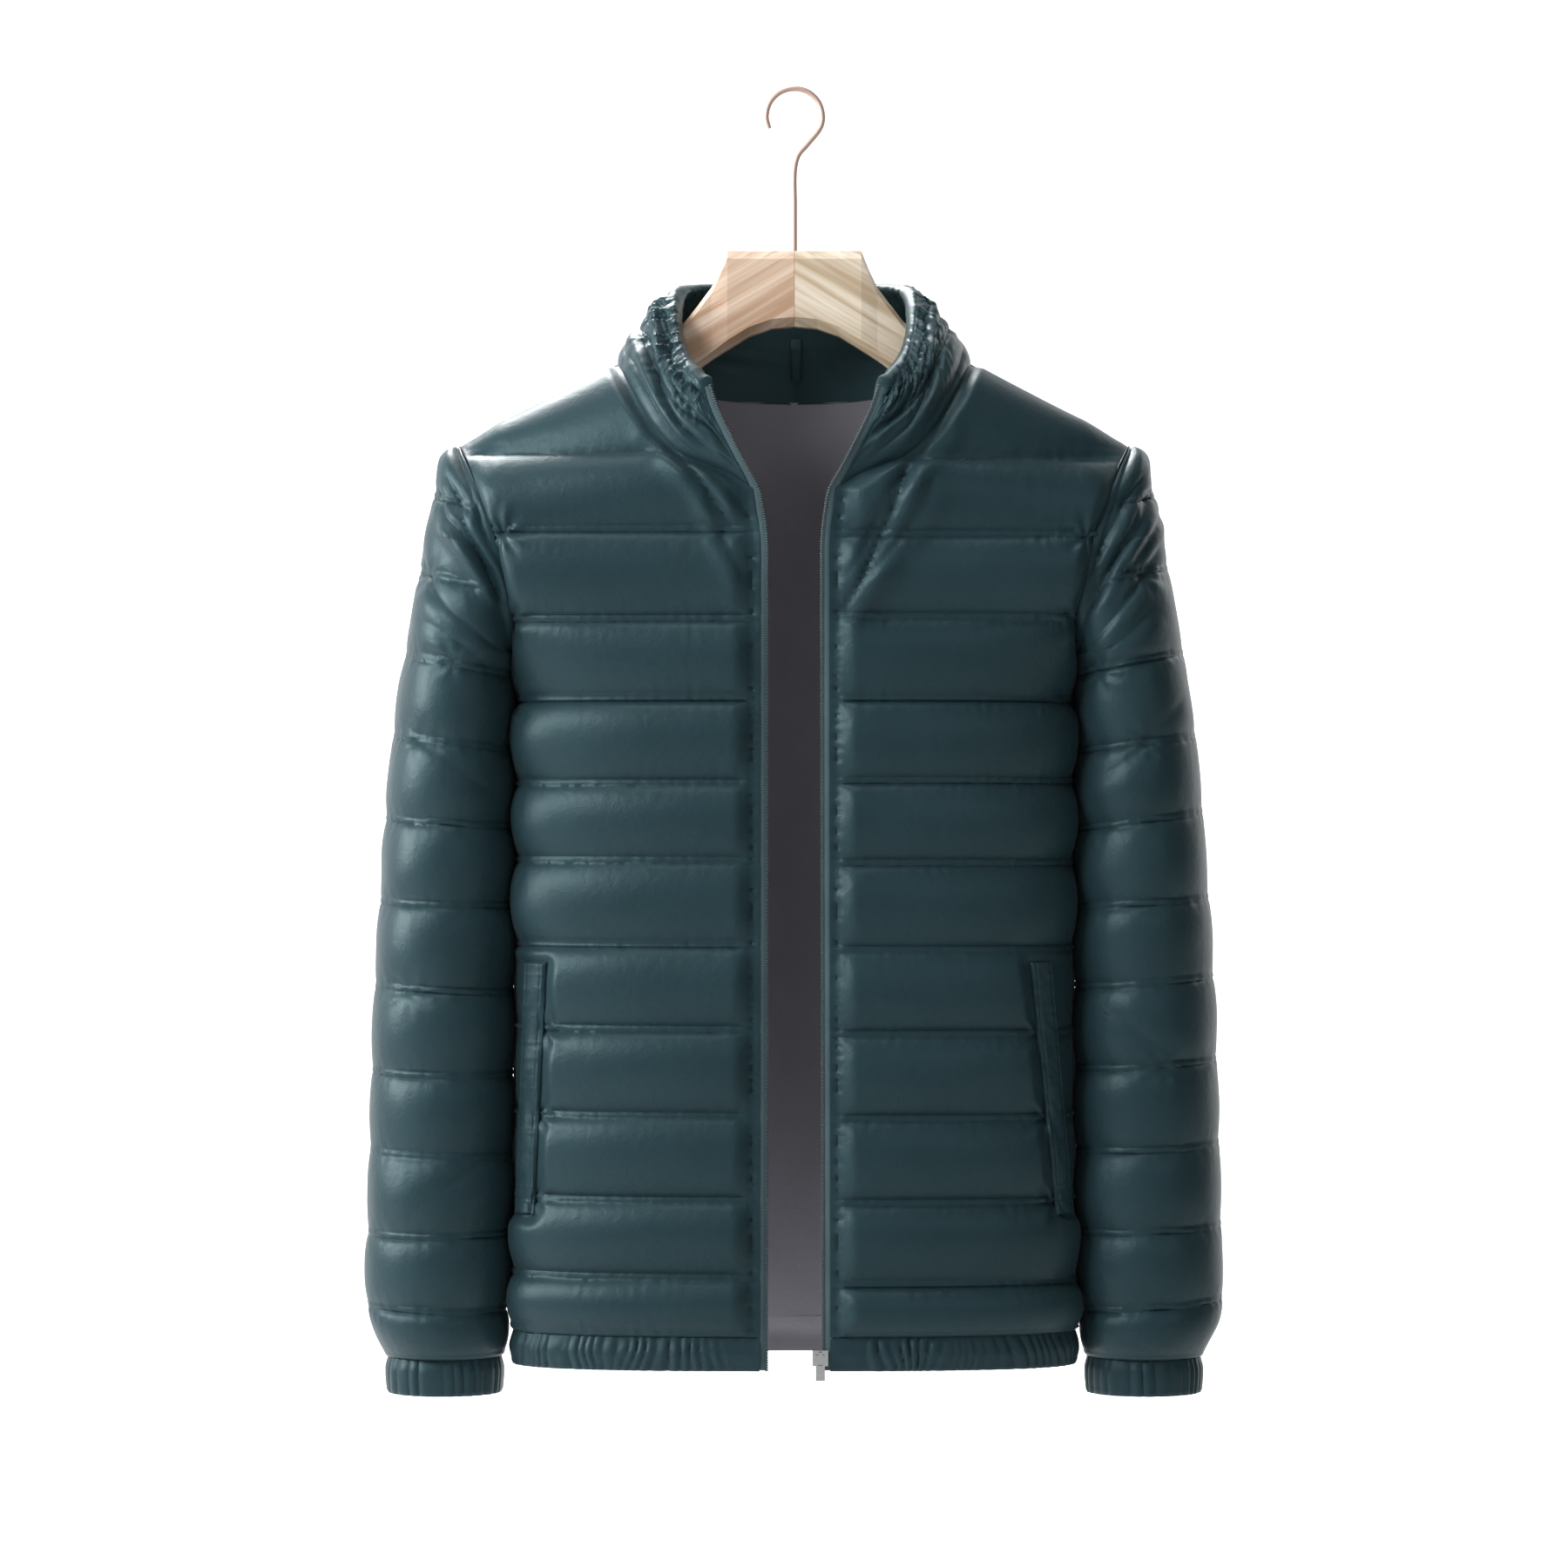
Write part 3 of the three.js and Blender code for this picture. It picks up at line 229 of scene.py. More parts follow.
def crease(x, z, start, end, depth, width, bend=0.0):
    """A fold pressed into the cloth along a line from start to end: a sharp groove with
    a soft roll beside it, fading at both ends. bend bows the line sideways."""
    start, end = np.asarray(start, float), np.asarray(end, float)
    along = end - start
    length = np.hypot(*along)
    along = along / length
    t = ((x - start[0]) * along[0] + (z - start[1]) * along[1]) / length
    aside = (x - start[0]) * -along[1] + (z - start[1]) * along[0] - bend * 4 * t * (1 - t)
    fade = ease(-0.08, 0.12, t) * (1 - ease(0.85, 1.08, t))
    groove = -np.exp(-np.abs(aside) / (0.45 * width))
    roll = 0.75 * np.exp(-((aside - width) / width)**2) + 0.35 * np.exp(-((aside + 1.3 * width) / width)**2)
    return depth * fade * (groove + roll)


def gather(along, away, reach, pitch, seed):
    """Fine puckers that a stitch line draws into the cloth: ridges across the line, which
    fade with the distance away from it."""
    ridges = 1 - 2 * np.abs(soft_noise(along / pitch, away / (3 * pitch), seed))
    return ridges * np.exp(-away / reach)


def to_linear(code):
    """sRGB hex code to linear red, green, blue and alpha."""
    values = np.array([int(code[i:i + 2], 16) / 255 for i in (1, 3, 5)])
    linear = np.where(values <= 0.04045, values / 12.92, ((values + 0.055) / 1.055)**2.4)
    return (*linear, 1.0)


def add_node(tree, kind, links=(), **settings):
    """Adds one node. Settings name its properties or, with in_, its sockets. Each link
    is (input name or number, output socket)."""
    node = tree.nodes.new(kind)
    for name, value in settings.items():
        if name.startswith("in_"):
            node.inputs[name[3:].replace("_", " ")].default_value = value
        else:
            setattr(node, name, value)
    for socket, source in links:
        tree.links.new(source, node.inputs[socket])
    return node


def new_material(name):
    """An empty node material, with its output node and its tree."""
    material = bpy.data.materials.new(name)
    material.use_nodes = True
    tree = material.node_tree
    tree.nodes.clear()
    return material, tree, add_node(tree, "ShaderNodeOutputMaterial")


# Colour of the gloss on dyed satin, which takes some of the dye
GLOSS_TINT = "#a9c6c9"


def cloth_material(name, dark, light, roughness, weave_mm, weave_depth, sheen, specular=0.5):
    """Woven cloth: two close colours in soft patches, crossed threads as fine bump, and a
    rub-worn change of gloss. The weave is drawn at weave_mm so that it shows."""
    material, tree, output = new_material(name)
    where = add_node(tree, "ShaderNodeTexCoord").outputs["Object"]
    patches = add_node(tree, "ShaderNodeTexNoise", [("Vector", where)],
                       in_Scale=14.0, in_Detail=5.0, in_Roughness=0.6)
    colour = add_node(tree, "ShaderNodeMix", data_type="RGBA")
    colour.inputs["A"].default_value = to_linear(dark)
    colour.inputs["B"].default_value = to_linear(light)
    tree.links.new(patches.outputs["Fac"], colour.inputs["Factor"])
    crumple = add_node(tree, "ShaderNodeTexNoise", [("Vector", where)],
                       in_Scale=160.0, in_Detail=4.0, in_Roughness=0.55, in_Distortion=0.6)
    threads = add_node(tree, "ShaderNodeTexNoise", [("Vector", where)],
                       in_Scale=1000.0 / weave_mm, in_Detail=2.0)
    soft = add_node(tree, "ShaderNodeBump", [("Height", crumple.outputs["Fac"])],
                    in_Strength=0.35, in_Distance=0.0009)
    fine = add_node(tree, "ShaderNodeBump", [("Height", threads.outputs["Fac"]), ("Normal", soft.outputs["Normal"])],
                    in_Strength=0.3, in_Distance=weave_depth / 1000)
    gloss = add_node(tree, "ShaderNodeMapRange", [("Value", patches.outputs["Fac"])],
                     in_To_Min=roughness - 0.05, in_To_Max=roughness + 0.06)
    surface = add_node(tree, "ShaderNodeBsdfPrincipled", [
        ("Base Color", colour.outputs["Result"]), ("Roughness", gloss.outputs["Result"]),
        ("Normal", fine.outputs["Normal"])])
    surface.inputs["IOR"].default_value = 1.5
    surface.inputs["Specular IOR Level"].default_value = specular
    surface.inputs["Specular Tint"].default_value = to_linear(GLOSS_TINT)
    surface.inputs["Sheen Weight"].default_value = sheen
    surface.inputs["Sheen Roughness"].default_value = 0.45
    tree.links.new(surface.outputs["BSDF"], output.inputs["Surface"])
    return material


# Polyamide satin, tightly woven and calendered: a soft wide gloss over a dark green
shell_cloth = cloth_material("satin_nylon_dark_green", "#17282d", "#1f3339", 0.43, 1.1, 0.10, 0.03, 0.36)
# Plain-woven polyester lining, grey with a little mauve: matt, so the inside reads flat
lining_cloth = cloth_material("polyester_lining_grey", "#77757d", "#84828a", 0.62, 1.3, 0.10, 0.05, 0.3)


def make_piece(name, points, faces, materials, face_materials=None, sharp=50):
    """Makes a mesh object from points in millimetres and an array of triangles or quads."""
    mesh = bpy.data.meshes.new(name)
    mesh.from_pydata([tuple(p) for p in np.asarray(points) / 1000], [], [tuple(f) for f in faces])
    for material in materials:
        mesh.materials.append(material)
    if face_materials is not None:
        mesh.polygons.foreach_set("material_index", np.asarray(face_materials, dtype=np.int32))
    mesh.shade_smooth()
    mesh.set_sharp_from_angle(angle=radians(sharp))
    piece = bpy.data.objects.new(name, mesh)
    scene.collection.objects.link(piece)
    return piece


def quads(rows, columns, first=0):
    """Corner numbers of the quads of a grid of points that starts at number first."""
    i, j = np.meshgrid(np.arange(rows - 1), np.arange(columns - 1), indexing="ij")
    a = first + i * columns + j
    return np.stack([a, a + columns, a + columns + 1, a + 1], axis=-1).reshape(-1, 4)


def wall_piece(name, outer, inner, outward, outside, inside, near=None):
    """A closed wall: the outer grid, the inner grid with fewer rows and the same columns,
    and strips that join them round the edge. near gives the outer row of each inner row."""
    rows, columns = outer.shape[:2]
    inner_rows = inner.shape[0]
    first = rows * columns
    if near is None:
        near = np.round(np.linspace(0, rows - 1, inner_rows)).astype(int)
    out_faces = quads(rows, columns)
    in_faces = quads(inner_rows, columns, first)[:, ::-1]
    j = np.arange(columns - 1)
    top = np.stack([j, j + 1, first + j + 1, first + j], axis=1)
    low_out, low_in = (rows - 1) * columns + j, first + (inner_rows - 1) * columns + j
    low = np.stack([low_out, low_in, low_in + 1, low_out + 1], axis=1)
    sides = []
    for column, turn in ((0, 1), (columns - 1, -1)):
        i = np.arange(rows - 1)
        k = np.clip(np.searchsorted(near, i + 0.5) - 1, 0, inner_rows - 2)
        middle = (near[k] + near[k + 1]) // 2
        k = np.where(i < middle, k, k + 1)
        sides.append(np.stack([i * columns + column, first + k * columns + column, (i + 1) * columns + column], 1)[:, ::turn])
        k = np.arange(inner_rows - 1)
        middle = (near[k] + near[k + 1]) // 2
        sides.append(np.stack([middle * columns + column, first + k * columns + column,
                               first + (k + 1) * columns + column], 1)[:, ::turn])
    faces = [tuple(f[::-1] if outward < 0 else f)
             for part in (out_faces, in_faces, top, low, *sides) for f in part.tolist()]
    kinds = np.zeros(len(faces), dtype=np.int32)
    kinds[len(out_faces):len(out_faces) + len(in_faces)] = 1
    points = np.concatenate([outer.reshape(-1, 3), inner.reshape(-1, 3)])
    return make_piece(name, points, faces, [outside, inside], kinds)


def front_rows(count):
    """Row parameter r from 0 at the shoulder seam to the last row at the hem, spaced evenly
    down the outer edge, with the outer edge's height for each."""
    base = np.concatenate([SHOULDER_TIP[1] - ARMHOLE_HEIGHT * (1 - np.cos(TOP_ANGLES)), ROW_HEIGHTS])
    steps = np.arange(len(base))
    travel = np.concatenate([[0], np.cumsum(np.hypot(np.diff(base), np.where(steps[1:] <= HEAD_ROWS, 9.0, 0)))])
    r = np.interp(np.linspace(0, travel[-1], count), travel, steps)
    angle = np.interp(r, np.arange(HEAD_ROWS), TOP_ANGLES)
    curved = SHOULDER_TIP[1] - ARMHOLE_HEIGHT * (1 - np.cos(angle))
    return r, np.where(r < HEAD_ROWS - 1, curved, np.interp(r, steps, base))


def front_grid(side, rows, columns):
    """Seam-level points of a front. Across, x goes as a power of the sine of an even angle
    from the zip or neck seam to the outer edge; down, rows follow front_rows."""
    r, outer_z = front_rows(rows)
    neck = NECK_FRONT[::-1]
    on_neck = r < len(neck) - 1
    in_x = np.where(on_neck, np.interp(r, np.arange(len(neck)), neck[:, 0]), zip_x(outer_z, side) + TAPE_WIDTH)
    in_z = np.where(on_neck, np.interp(r, np.arange(len(neck)), neck[:, 1]), outer_z)
    blend = np.clip(r - (len(neck) - 1), 0, 1)
    in_z = np.where(on_neck, in_z, mix(-285.5 + (outer_z + 292), outer_z, blend))
    edge_x, edge_y = body_edge(outer_z)
    start = np.arcsin((in_x / edge_x)**(SECTION_POWER / 2))
    u = np.linspace(0, 1, columns)
    u = 0.72 * u + 0.28 * u**2 * (3 - 2 * u)
    angle = mix(start[:, None], pi / 2, u[None, :])
    x = edge_x[:, None] * np.sin(angle)**(2 / SECTION_POWER)
    x[:, -1] = edge_x
    across = (x - in_x[:, None]) / (edge_x - in_x)[:, None]
    level = mix(in_z[:, None], outer_z[:, None], across)
    fall = mix((ridge(in_x) - in_z)[:, None], (ridge(edge_x) - outer_z)[:, None], across)
    z = np.where(r[:, None] < HEAD_ROWS, ridge(x) - fall, level)
    y = body_y(x, z, edge_x[:, None], edge_y[:, None], -1)
    y = y - stand_forward(x, z, zip_x(np.maximum(z, -330), side))
    grid = np.stack([x, np.minimum(y, -SEAM_GAP / 2), z], axis=-1)
    grid[:, -1, 0] -= np.where(edge_y > 0, SEAM_GAP / 2, 0)
    away = ((1 - ease(0.82, 1, u)) * ease(0, 0.08, u))[None, :, None]
    underarm = np.exp(-((outer_z - ARMHOLE_BOTTOM) / 45)**2)[:, None, None]
    grid[6:-6] = mix(grid, smooth_along(grid, 9), away * underarm)[6:-6]
    return armhole_lift(grid, grid[:, -1:]), r


# Pocket welts, as shares of the half width: inner and outer edge at the top and bottom
WELT_TOP, WELT_BOTTOM = -617.0, -795.0
WELTS = {-1: (0.885, 0.965, 0.925, 0.992), 1: (0.84, 0.92, 0.93, 0.992)}

# Folds of the fronts seen from the front: side, start x z, end x z, depth, width, bend
FRONT_FOLDS = [
    (1, (80, -266), (28, -380), 5.0, 9, 4),
    (1, (106, -236), (62, -292), 2.6, 9, 3),
    (1, (96, -282), (46, -352), 2.2, 8, 4),
    (-1, (90, -252), (44, -312), 4.2, 7, -2),
    (-1, (72, -266), (34, -300), 3.2, 6, -2),
    (-1, (104, -240), (66, -278), 2.0, 8, 2),
    (-1, (60, -290), (32, -352), 1.8, 7, 2),
    (1, (60, -300), (34, -350), 2.0, 7, 2),
]
# Short knots where a stitch line meets the armhole or a pocket: side, x, z, size
KNOTS = [
    (-1, 203, -318, 1.0), (-1, 199, -379, 1.1), (-1, 196, -436, 0.7), (1, 203, -321, 0.8),
    (1, 198, -378, 0.9), (1, 194, -436, 0.6), (-1, 176, -665, 0.8), (-1, 180, -725, 0.8),
    (-1, 183, -784, 0.8), (1, 170, -668, 0.7), (1, 176, -727, 0.9), (1, 182, -786, 0.9),
]


def welt_press(side, share, z):
    """Share of the filling's rise that is left beside a pocket welt."""
    top_in, _, bottom_in, _ = WELTS[side]
    down = (z - WELT_TOP) / (WELT_BOTTOM - WELT_TOP)
    inside = ease(-0.05, 0.01, down) * (1 - ease(0.99, 1.05, down))
    near = mix(top_in, bottom_in, np.clip(down, 0, 1))
    return 1 - 0.65 * inside * ease(near - 0.06, near - 0.005, share)


def knot(x, z, at_x, at_z, size, seed):
    """A pinched spot: a small pit with ridges that run out from it like spokes."""
    dx, dz = x - at_x, z - at_z
    far = np.hypot(dx, dz) + 1e-6
    spokes = np.cos(7 * np.arctan2(dz, dx) + seed) * np.exp(-((far - 9) / 8)**2)
    return size * (1.1 * spokes - 2.4 * np.exp(-(far / 4.0)**2))


def quilting(x, z, seams, seed, along=None):
    """Outward rise in millimetres on a quilted panel before it is eased at its edges: the
    filling, uneven from place to place, and the puckers beside each stitch line."""
    phase, k, away = channel_phase(z, seams)
    along = x if along is None else along
    full = 1 + 0.10 * soft_noise(along / 80 + 7 * k, phase * 1.3 + k, seed)
    lumps = 0.6 * soft_noise(along / 44 + 3 * k, z / 30, seed + 1) * np.sin(pi * phase)
    drawn = 0.5 + 0.5 * soft_noise(along / 26, 3.1 * k, seed + 3)
    pinches = 0.34 * gather(along + 31 * k, away, 6, 3.4, seed + 2) + 0.5 * drawn * gather(along + 17 * k, away, 10, 7.5, seed + 4)
    return puff(phase / (1 - LEDGE / CHANNEL)) * full, lumps + pinches + ledge(z - seams[k + 1])


def front_piece(side, name):
    """Builds one front: seam-level grid, quilted rise along its normals, folds and knots."""
    grid, r = front_grid(side, 410, 128)
    normals = grid_normals(grid, 1)
    x, z = grid[..., 0], grid[..., 2]
    seams = BODY_SEAMS[:, 0 if side < 0 else 1]
    rise, small = quilting(x, z, seams, 11 + side)
    top = np.clip(r / HEAD_ROWS, 0, 1)[:, None]
    rise = np.where(z > seams[0], np.sin(pi * top**0.75)**0.8 * mix(0.4, 1, ease(0, 0.8, top)), rise)
    column = np.linspace(0, 1, grid.shape[1])[None, :]
    from_zip = mix(0.12, 1, ease(0.004, 0.055, column))
    beside_arm = ease(-422, -396, z)
    to_side = mix(mix(1, PUFF_SIDE / PUFF_FRONT, ease(0.76, 1, column)), mix(1, 0, ease(0.72, 1, column)), beside_arm)
    edge_x, _ = body_edge(z)
    press = welt_press(side, x / edge_x, z)
    tip = 1 - 0.8 * ease(200, 236, x) * ease(-300, -270, z)
    out = PUFF_FRONT * rise * from_zip * to_side * press * tip
    out = np.maximum(out, SIDE_LEAST * ease(0.9, 0.98, column) * (1 - beside_arm) * ease(HEM_Z, HEM_Z + 12, z))
    margin = ease(0, 0.03, column) * (1 - ease(0.93, 1, column)) * ease(0, 8, np.arange(grid.shape[0]))[:, None]
    out = out + small * margin
    for fold_side, start, end, depth, width, bend in FRONT_FOLDS:
        if fold_side == side:
            out = out + crease(x, z, start, end, depth, width, bend) * ease(0, 0.04, column)
    for number, (knot_side, at_x, at_z, size) in enumerate(KNOTS):
        if knot_side == side:
            out = out + knot(x, z, at_x, at_z, size, number) * margin * (np.abs(x - at_x) < 40)
    from_stitch = x - zip_x(z, side) - TAPE_WIDTH - ZIP_STITCH
    drawn = gather(z, np.abs(from_stitch), 3.5, 3.6, 17) * ease(0, 0.01, column)
    out = out + ((0.7 * drawn - 1.3) * np.exp(-(from_stitch / 1.4)**2) + 0.5 * drawn) * (z < -290)
    out = np.maximum(out, -WALL / 2)
    out[-1] = 0
    outer = grid + normals * out[..., None]
    plain = np.unique(np.round(np.linspace(0, grid.shape[0] - 1, 60)).astype(int))
    inner = grid[plain] - normals[plain] * WALL
    inner[:, -1, 1] = np.where(np.abs(grid[plain, -1, 1]) < 1, -SEAM_GAP / 2, inner[:, -1, 1])
    outer[:, -1, 1] = np.where(np.abs(grid[:, -1, 1]) < 1, -SEAM_GAP / 2, outer[:, -1, 1])
    inner[0, :, 1] = np.minimum(inner[0, :, 1], -SEAM_GAP / 2)
    outer[..., 0] *= side
    inner[..., 0] *= side
    piece = wall_piece(name, outer, inner, side, shell_cloth, lining_cloth)
    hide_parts(name)
    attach(piece, "jacket")
    return outer


front_outer = {-1: front_piece(-1, "front_left"), 1: front_piece(1, "front_right")}

# ---------------------------------------------------------------------------
# Back
# One panel of the same quilted cloth from side seam to side seam, with the neck cut out of
# its top. Its lining shows between the parted fronts.

# Shares of the half width, and the distances from the middle that they have at the shoulder
BACK_SHARES = np.array([0, 0.2, 0.38, 0.54, 0.67, 0.77, 0.85, 0.915, 0.955, 0.982, 0.996, 1])
BACK_TOPS = np.array([0, 36, 70, 97, 112, 121, 124, 152, 182, 209, 227, SHOULDER_TIP[0]])
BACK_NECK = np.concatenate([[SHOULDER_NECK], NECK_BACK])

# Folds of the back: start x z, end x z, depth, width, bend
BACK_FOLDS = [
    ((-110, -222), (-60, -330), 3.0, 9, -6),
    ((96, -226), (128, -352), 2.6, 10, 6),
    ((-160, -300), (-126, -376), 2.2, 8, 4),
    ((158, -306), (120, -400), 2.4, 9, -4),
    ((20, -232), (6, -318), 1.6, 8, 2),
    ((-188, -400), (-120, -470), 2.0, 9, 3),
    ((186, -404), (132, -486), 2.2, 9, -3),
]
BACK_KNOTS = [(-198, -318, 0.9), (-190, -378, 1.0), (198, -318, 0.8), (191, -378, 1.0),
              (-52, -264, 0.8), (64, -264, 0.7), (120, -435, 0.6), (-96, -548, 0.6)]


def back_grid(rows, columns):
    """Seam-level points of the back. Across, x is a tabled share of the half width, and
    near the shoulder a tabled distance; down, rows follow front_rows."""
    r, outer_z = front_rows(rows)
    across = np.linspace(-1, 1, columns)
    station = np.arange(len(BACK_SHARES))
    at = np.abs(across) * station[-1]
    share, top = through(station, BACK_SHARES, at), through(station, BACK_TOPS, at)
    edge_x, edge_y = (a[:, None] for a in body_edge(outer_z))
    outer_z = outer_z[:, None]
    up = np.maximum(1 - r / HEAD_ROWS, 0)[:, None]
    x = mix(share * edge_x, top * edge_x / SHOULDER_TIP[0], up)
    top_drop = np.where(x < SHOULDER_NECK[0], ridge(x) - through(BACK_NECK[:, 0], BACK_NECK[:, 1], x), 0)
    seam_edge, _ = body_edge(np.array(ROW_HEIGHTS[0]))
    edge_drop = (ridge(edge_x) - outer_z) / (ridge(seam_edge) - ROW_HEIGHTS[0])
    z = np.where(r[:, None] < HEAD_ROWS, ridge(x) - mix(top_drop, ridge(x) - ROW_HEIGHTS[0], edge_drop), outer_z)
    y = np.maximum(body_y(x, z, edge_x, edge_y, 1), SEAM_GAP / 2)
    x[:, [0, -1]] -= np.where(edge_y > 0, SEAM_GAP / 2, 0)
    grid = np.stack([x, y, z + 0 * x], axis=-1)
    away = (1 - ease(0.8, 1, np.abs(across)))[None, :, None]
    underarm = np.exp(-((outer_z - ARMHOLE_BOTTOM) / 45)**2)[..., None]
    grid[6:-6] = mix(grid, smooth_along(grid, 9), away * underarm)[6:-6]
    half = columns // 2
    grid[:, half:] = armhole_lift(grid[:, half:], grid[:, -1:])
    grid[:, :half] = armhole_lift(grid[:, :half], grid[:, :1])
    return grid * np.stack([np.sign(across + 1e-9), 1 + 0 * across, 1 + 0 * across], axis=-1), r


def back_piece():
    """Builds the back in the same way as the fronts."""
    grid, r = back_grid(380, 190)
    normals = grid_normals(grid, -1)
    x, z = grid[..., 0], grid[..., 2]
    seams = BODY_SEAMS[:, 2]
    rise, small = quilting(x, z, seams, 31)
    top = np.clip(r / HEAD_ROWS, 0, 1)[:, None]
    rise = np.where(z > seams[0], np.sin(pi * top**0.75)**0.8 * mix(0.4, 1, ease(0, 0.8, top)), rise)
    share = np.abs(np.linspace(-1, 1, grid.shape[1]))[None, :]
    beside_arm = ease(-422, -396, z)
    to_side = mix(mix(1, PUFF_SIDE / PUFF_FRONT, ease(0.7, 1, share)), mix(1, 0, ease(0.72, 1, share)), beside_arm)
    margin = (1 - ease(0.93, 1, share)) * ease(0, 8, np.arange(grid.shape[0]))[:, None]
    tip = 1 - 0.8 * ease(200, 236, np.abs(x)) * ease(-300, -270, z)
    out = PUFF_FRONT * rise * to_side * tip
    out = np.maximum(out, SIDE_LEAST * ease(0.9, 0.98, share) * (1 - beside_arm) * ease(HEM_Z, HEM_Z + 12, z))
    out = out + small * margin
    for start, end, depth, width, bend in BACK_FOLDS:
        out = out + crease(x, z, start, end, depth, width, bend) * margin
    for number, (at_x, at_z, size) in enumerate(BACK_KNOTS):
        out = out + knot(x, z, at_x, at_z, size, number) * margin * (np.abs(x - at_x) < 40)
    out[-1] = 0
    outer = grid + normals * out[..., None]
    plain = np.unique(np.round(np.linspace(0, grid.shape[0] - 1, 60)).astype(int))
    inner = grid[plain] - normals[plain] * WALL
    for side in (0, -1):
        for wall, rows in ((outer, np.arange(grid.shape[0])), (inner, plain)):
            wall[:, side, 1] = np.where(np.abs(grid[rows, side, 1]) < 1, SEAM_GAP / 2, wall[:, side, 1])
    inner[0, :, 1] = np.maximum(inner[0, :, 1], SEAM_GAP / 2)
    piece = wall_piece("back", outer, inner, -1, shell_cloth, lining_cloth)
    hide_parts("back")
    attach(piece, "jacket")


back_piece()

# ---------------------------------------------------------------------------
# Collar
# One padded band of the shell cloth, inside and out, that stands on the neck seam from zip
# to zip. A stitch line along its middle makes two channels, and its rim is drawn up short.

# Share of the way from the front corner to the centre back, then x, y and z of the rim
COLLAR_RIM = np.array([
    (0, 64, -80, -214), (0.1, 71, -72, -206), (0.22, 77, -58, -195), (0.36, 82, -36, -177),
    (0.5, 85, -10, -153), (0.6, 84, 10, -141), (0.7, 76, 29, -137), (0.82, 54, 46, -135),
    (0.92, 24, 53, -135), (1, 0, 54, -135),
])
COLLAR_BOW, COLLAR_PUFF, RIM_WALL, RIM_ROUND, TUCK = 4.0, 4.4, 8.0, 3.2, 1.2
COLLAR_ROWS, CURL_ROWS, COLLAR_COLUMNS = 96, 14, 420

# Long folds of the collar, unrolled: distance from the centre back (minus on the left) and
# height above the neck seam at the start and end, then depth, width and bend
COLLAR_FOLDS = [
    ((-262, 14), (-150, 30), 3.0, 6, 5), ((-250, 6), (-170, 12), 2.4, 5, 3),
    ((-236, 46), (-150, 52), 2.2, 6, -4), ((-200, 24), (-112, 40), 2.4, 7, 5),
    ((-168, 8), (-96, 22), 2.0, 7, 3), ((-276, 30), (-232, 40), 2.6, 5, 2),
    ((262, 12), (158, 30), 2.6, 6, -5), ((248, 34), (150, 50), 2.6, 7, 4),
    ((226, 8), (150, 14), 2.0, 6, 3), ((196, 28), (104, 40), 2.2, 7, -5),
    ((270, 28), (236, 44), 2.2, 5, 2), ((120, 16), (40, 24), 1.6, 7, 3),
    ((-90, 14), (-20, 26), 1.8, 8, -3), ((70, 50), (10, 58), 1.4, 6, 2),
]


def collar_ends(side, count):
    """Neck seam and rim of one half of the collar from its front corner to the centre back:
    count points of each, the seam's spaced by its length."""
    heights = np.concatenate([SHOULDER_TIP[1] - ARMHOLE_HEIGHT * (1 - np.cos(TOP_ANGLES)), ROW_HEIGHTS])
    x, z = NECK_FRONT.T
    edge_x, edge_y = body_edge(heights[len(NECK_FRONT) - 1::-1])
    y = body_y(x, z, edge_x, edge_y, -1) - stand_forward(x, z, zip_x(np.maximum(z, -330), side))
    back_x, back_z = NECK_BACK.T
    back_y = body_y(back_x, back_z, np.full(len(back_x), SHOULDER_TIP[0]), np.zeros(len(back_x)), 1)
    base = np.concatenate([np.stack([x, y, z], 1), np.stack([back_x, back_y, back_z], 1)])
    way = np.concatenate([[0], np.cumsum(np.linalg.norm(np.diff(base, axis=0), axis=1))])
    at = np.linspace(0, 1, count)
    seam = np.stack([through(way / way[-1], base[:, k], at) for k in range(3)], axis=1)
    rim = np.stack([through(COLLAR_RIM[:, 0], COLLAR_RIM[:, k + 1], at) for k in range(3)], axis=1)
    return seam * (side, 1, 1), rim * (side, 1, 1)


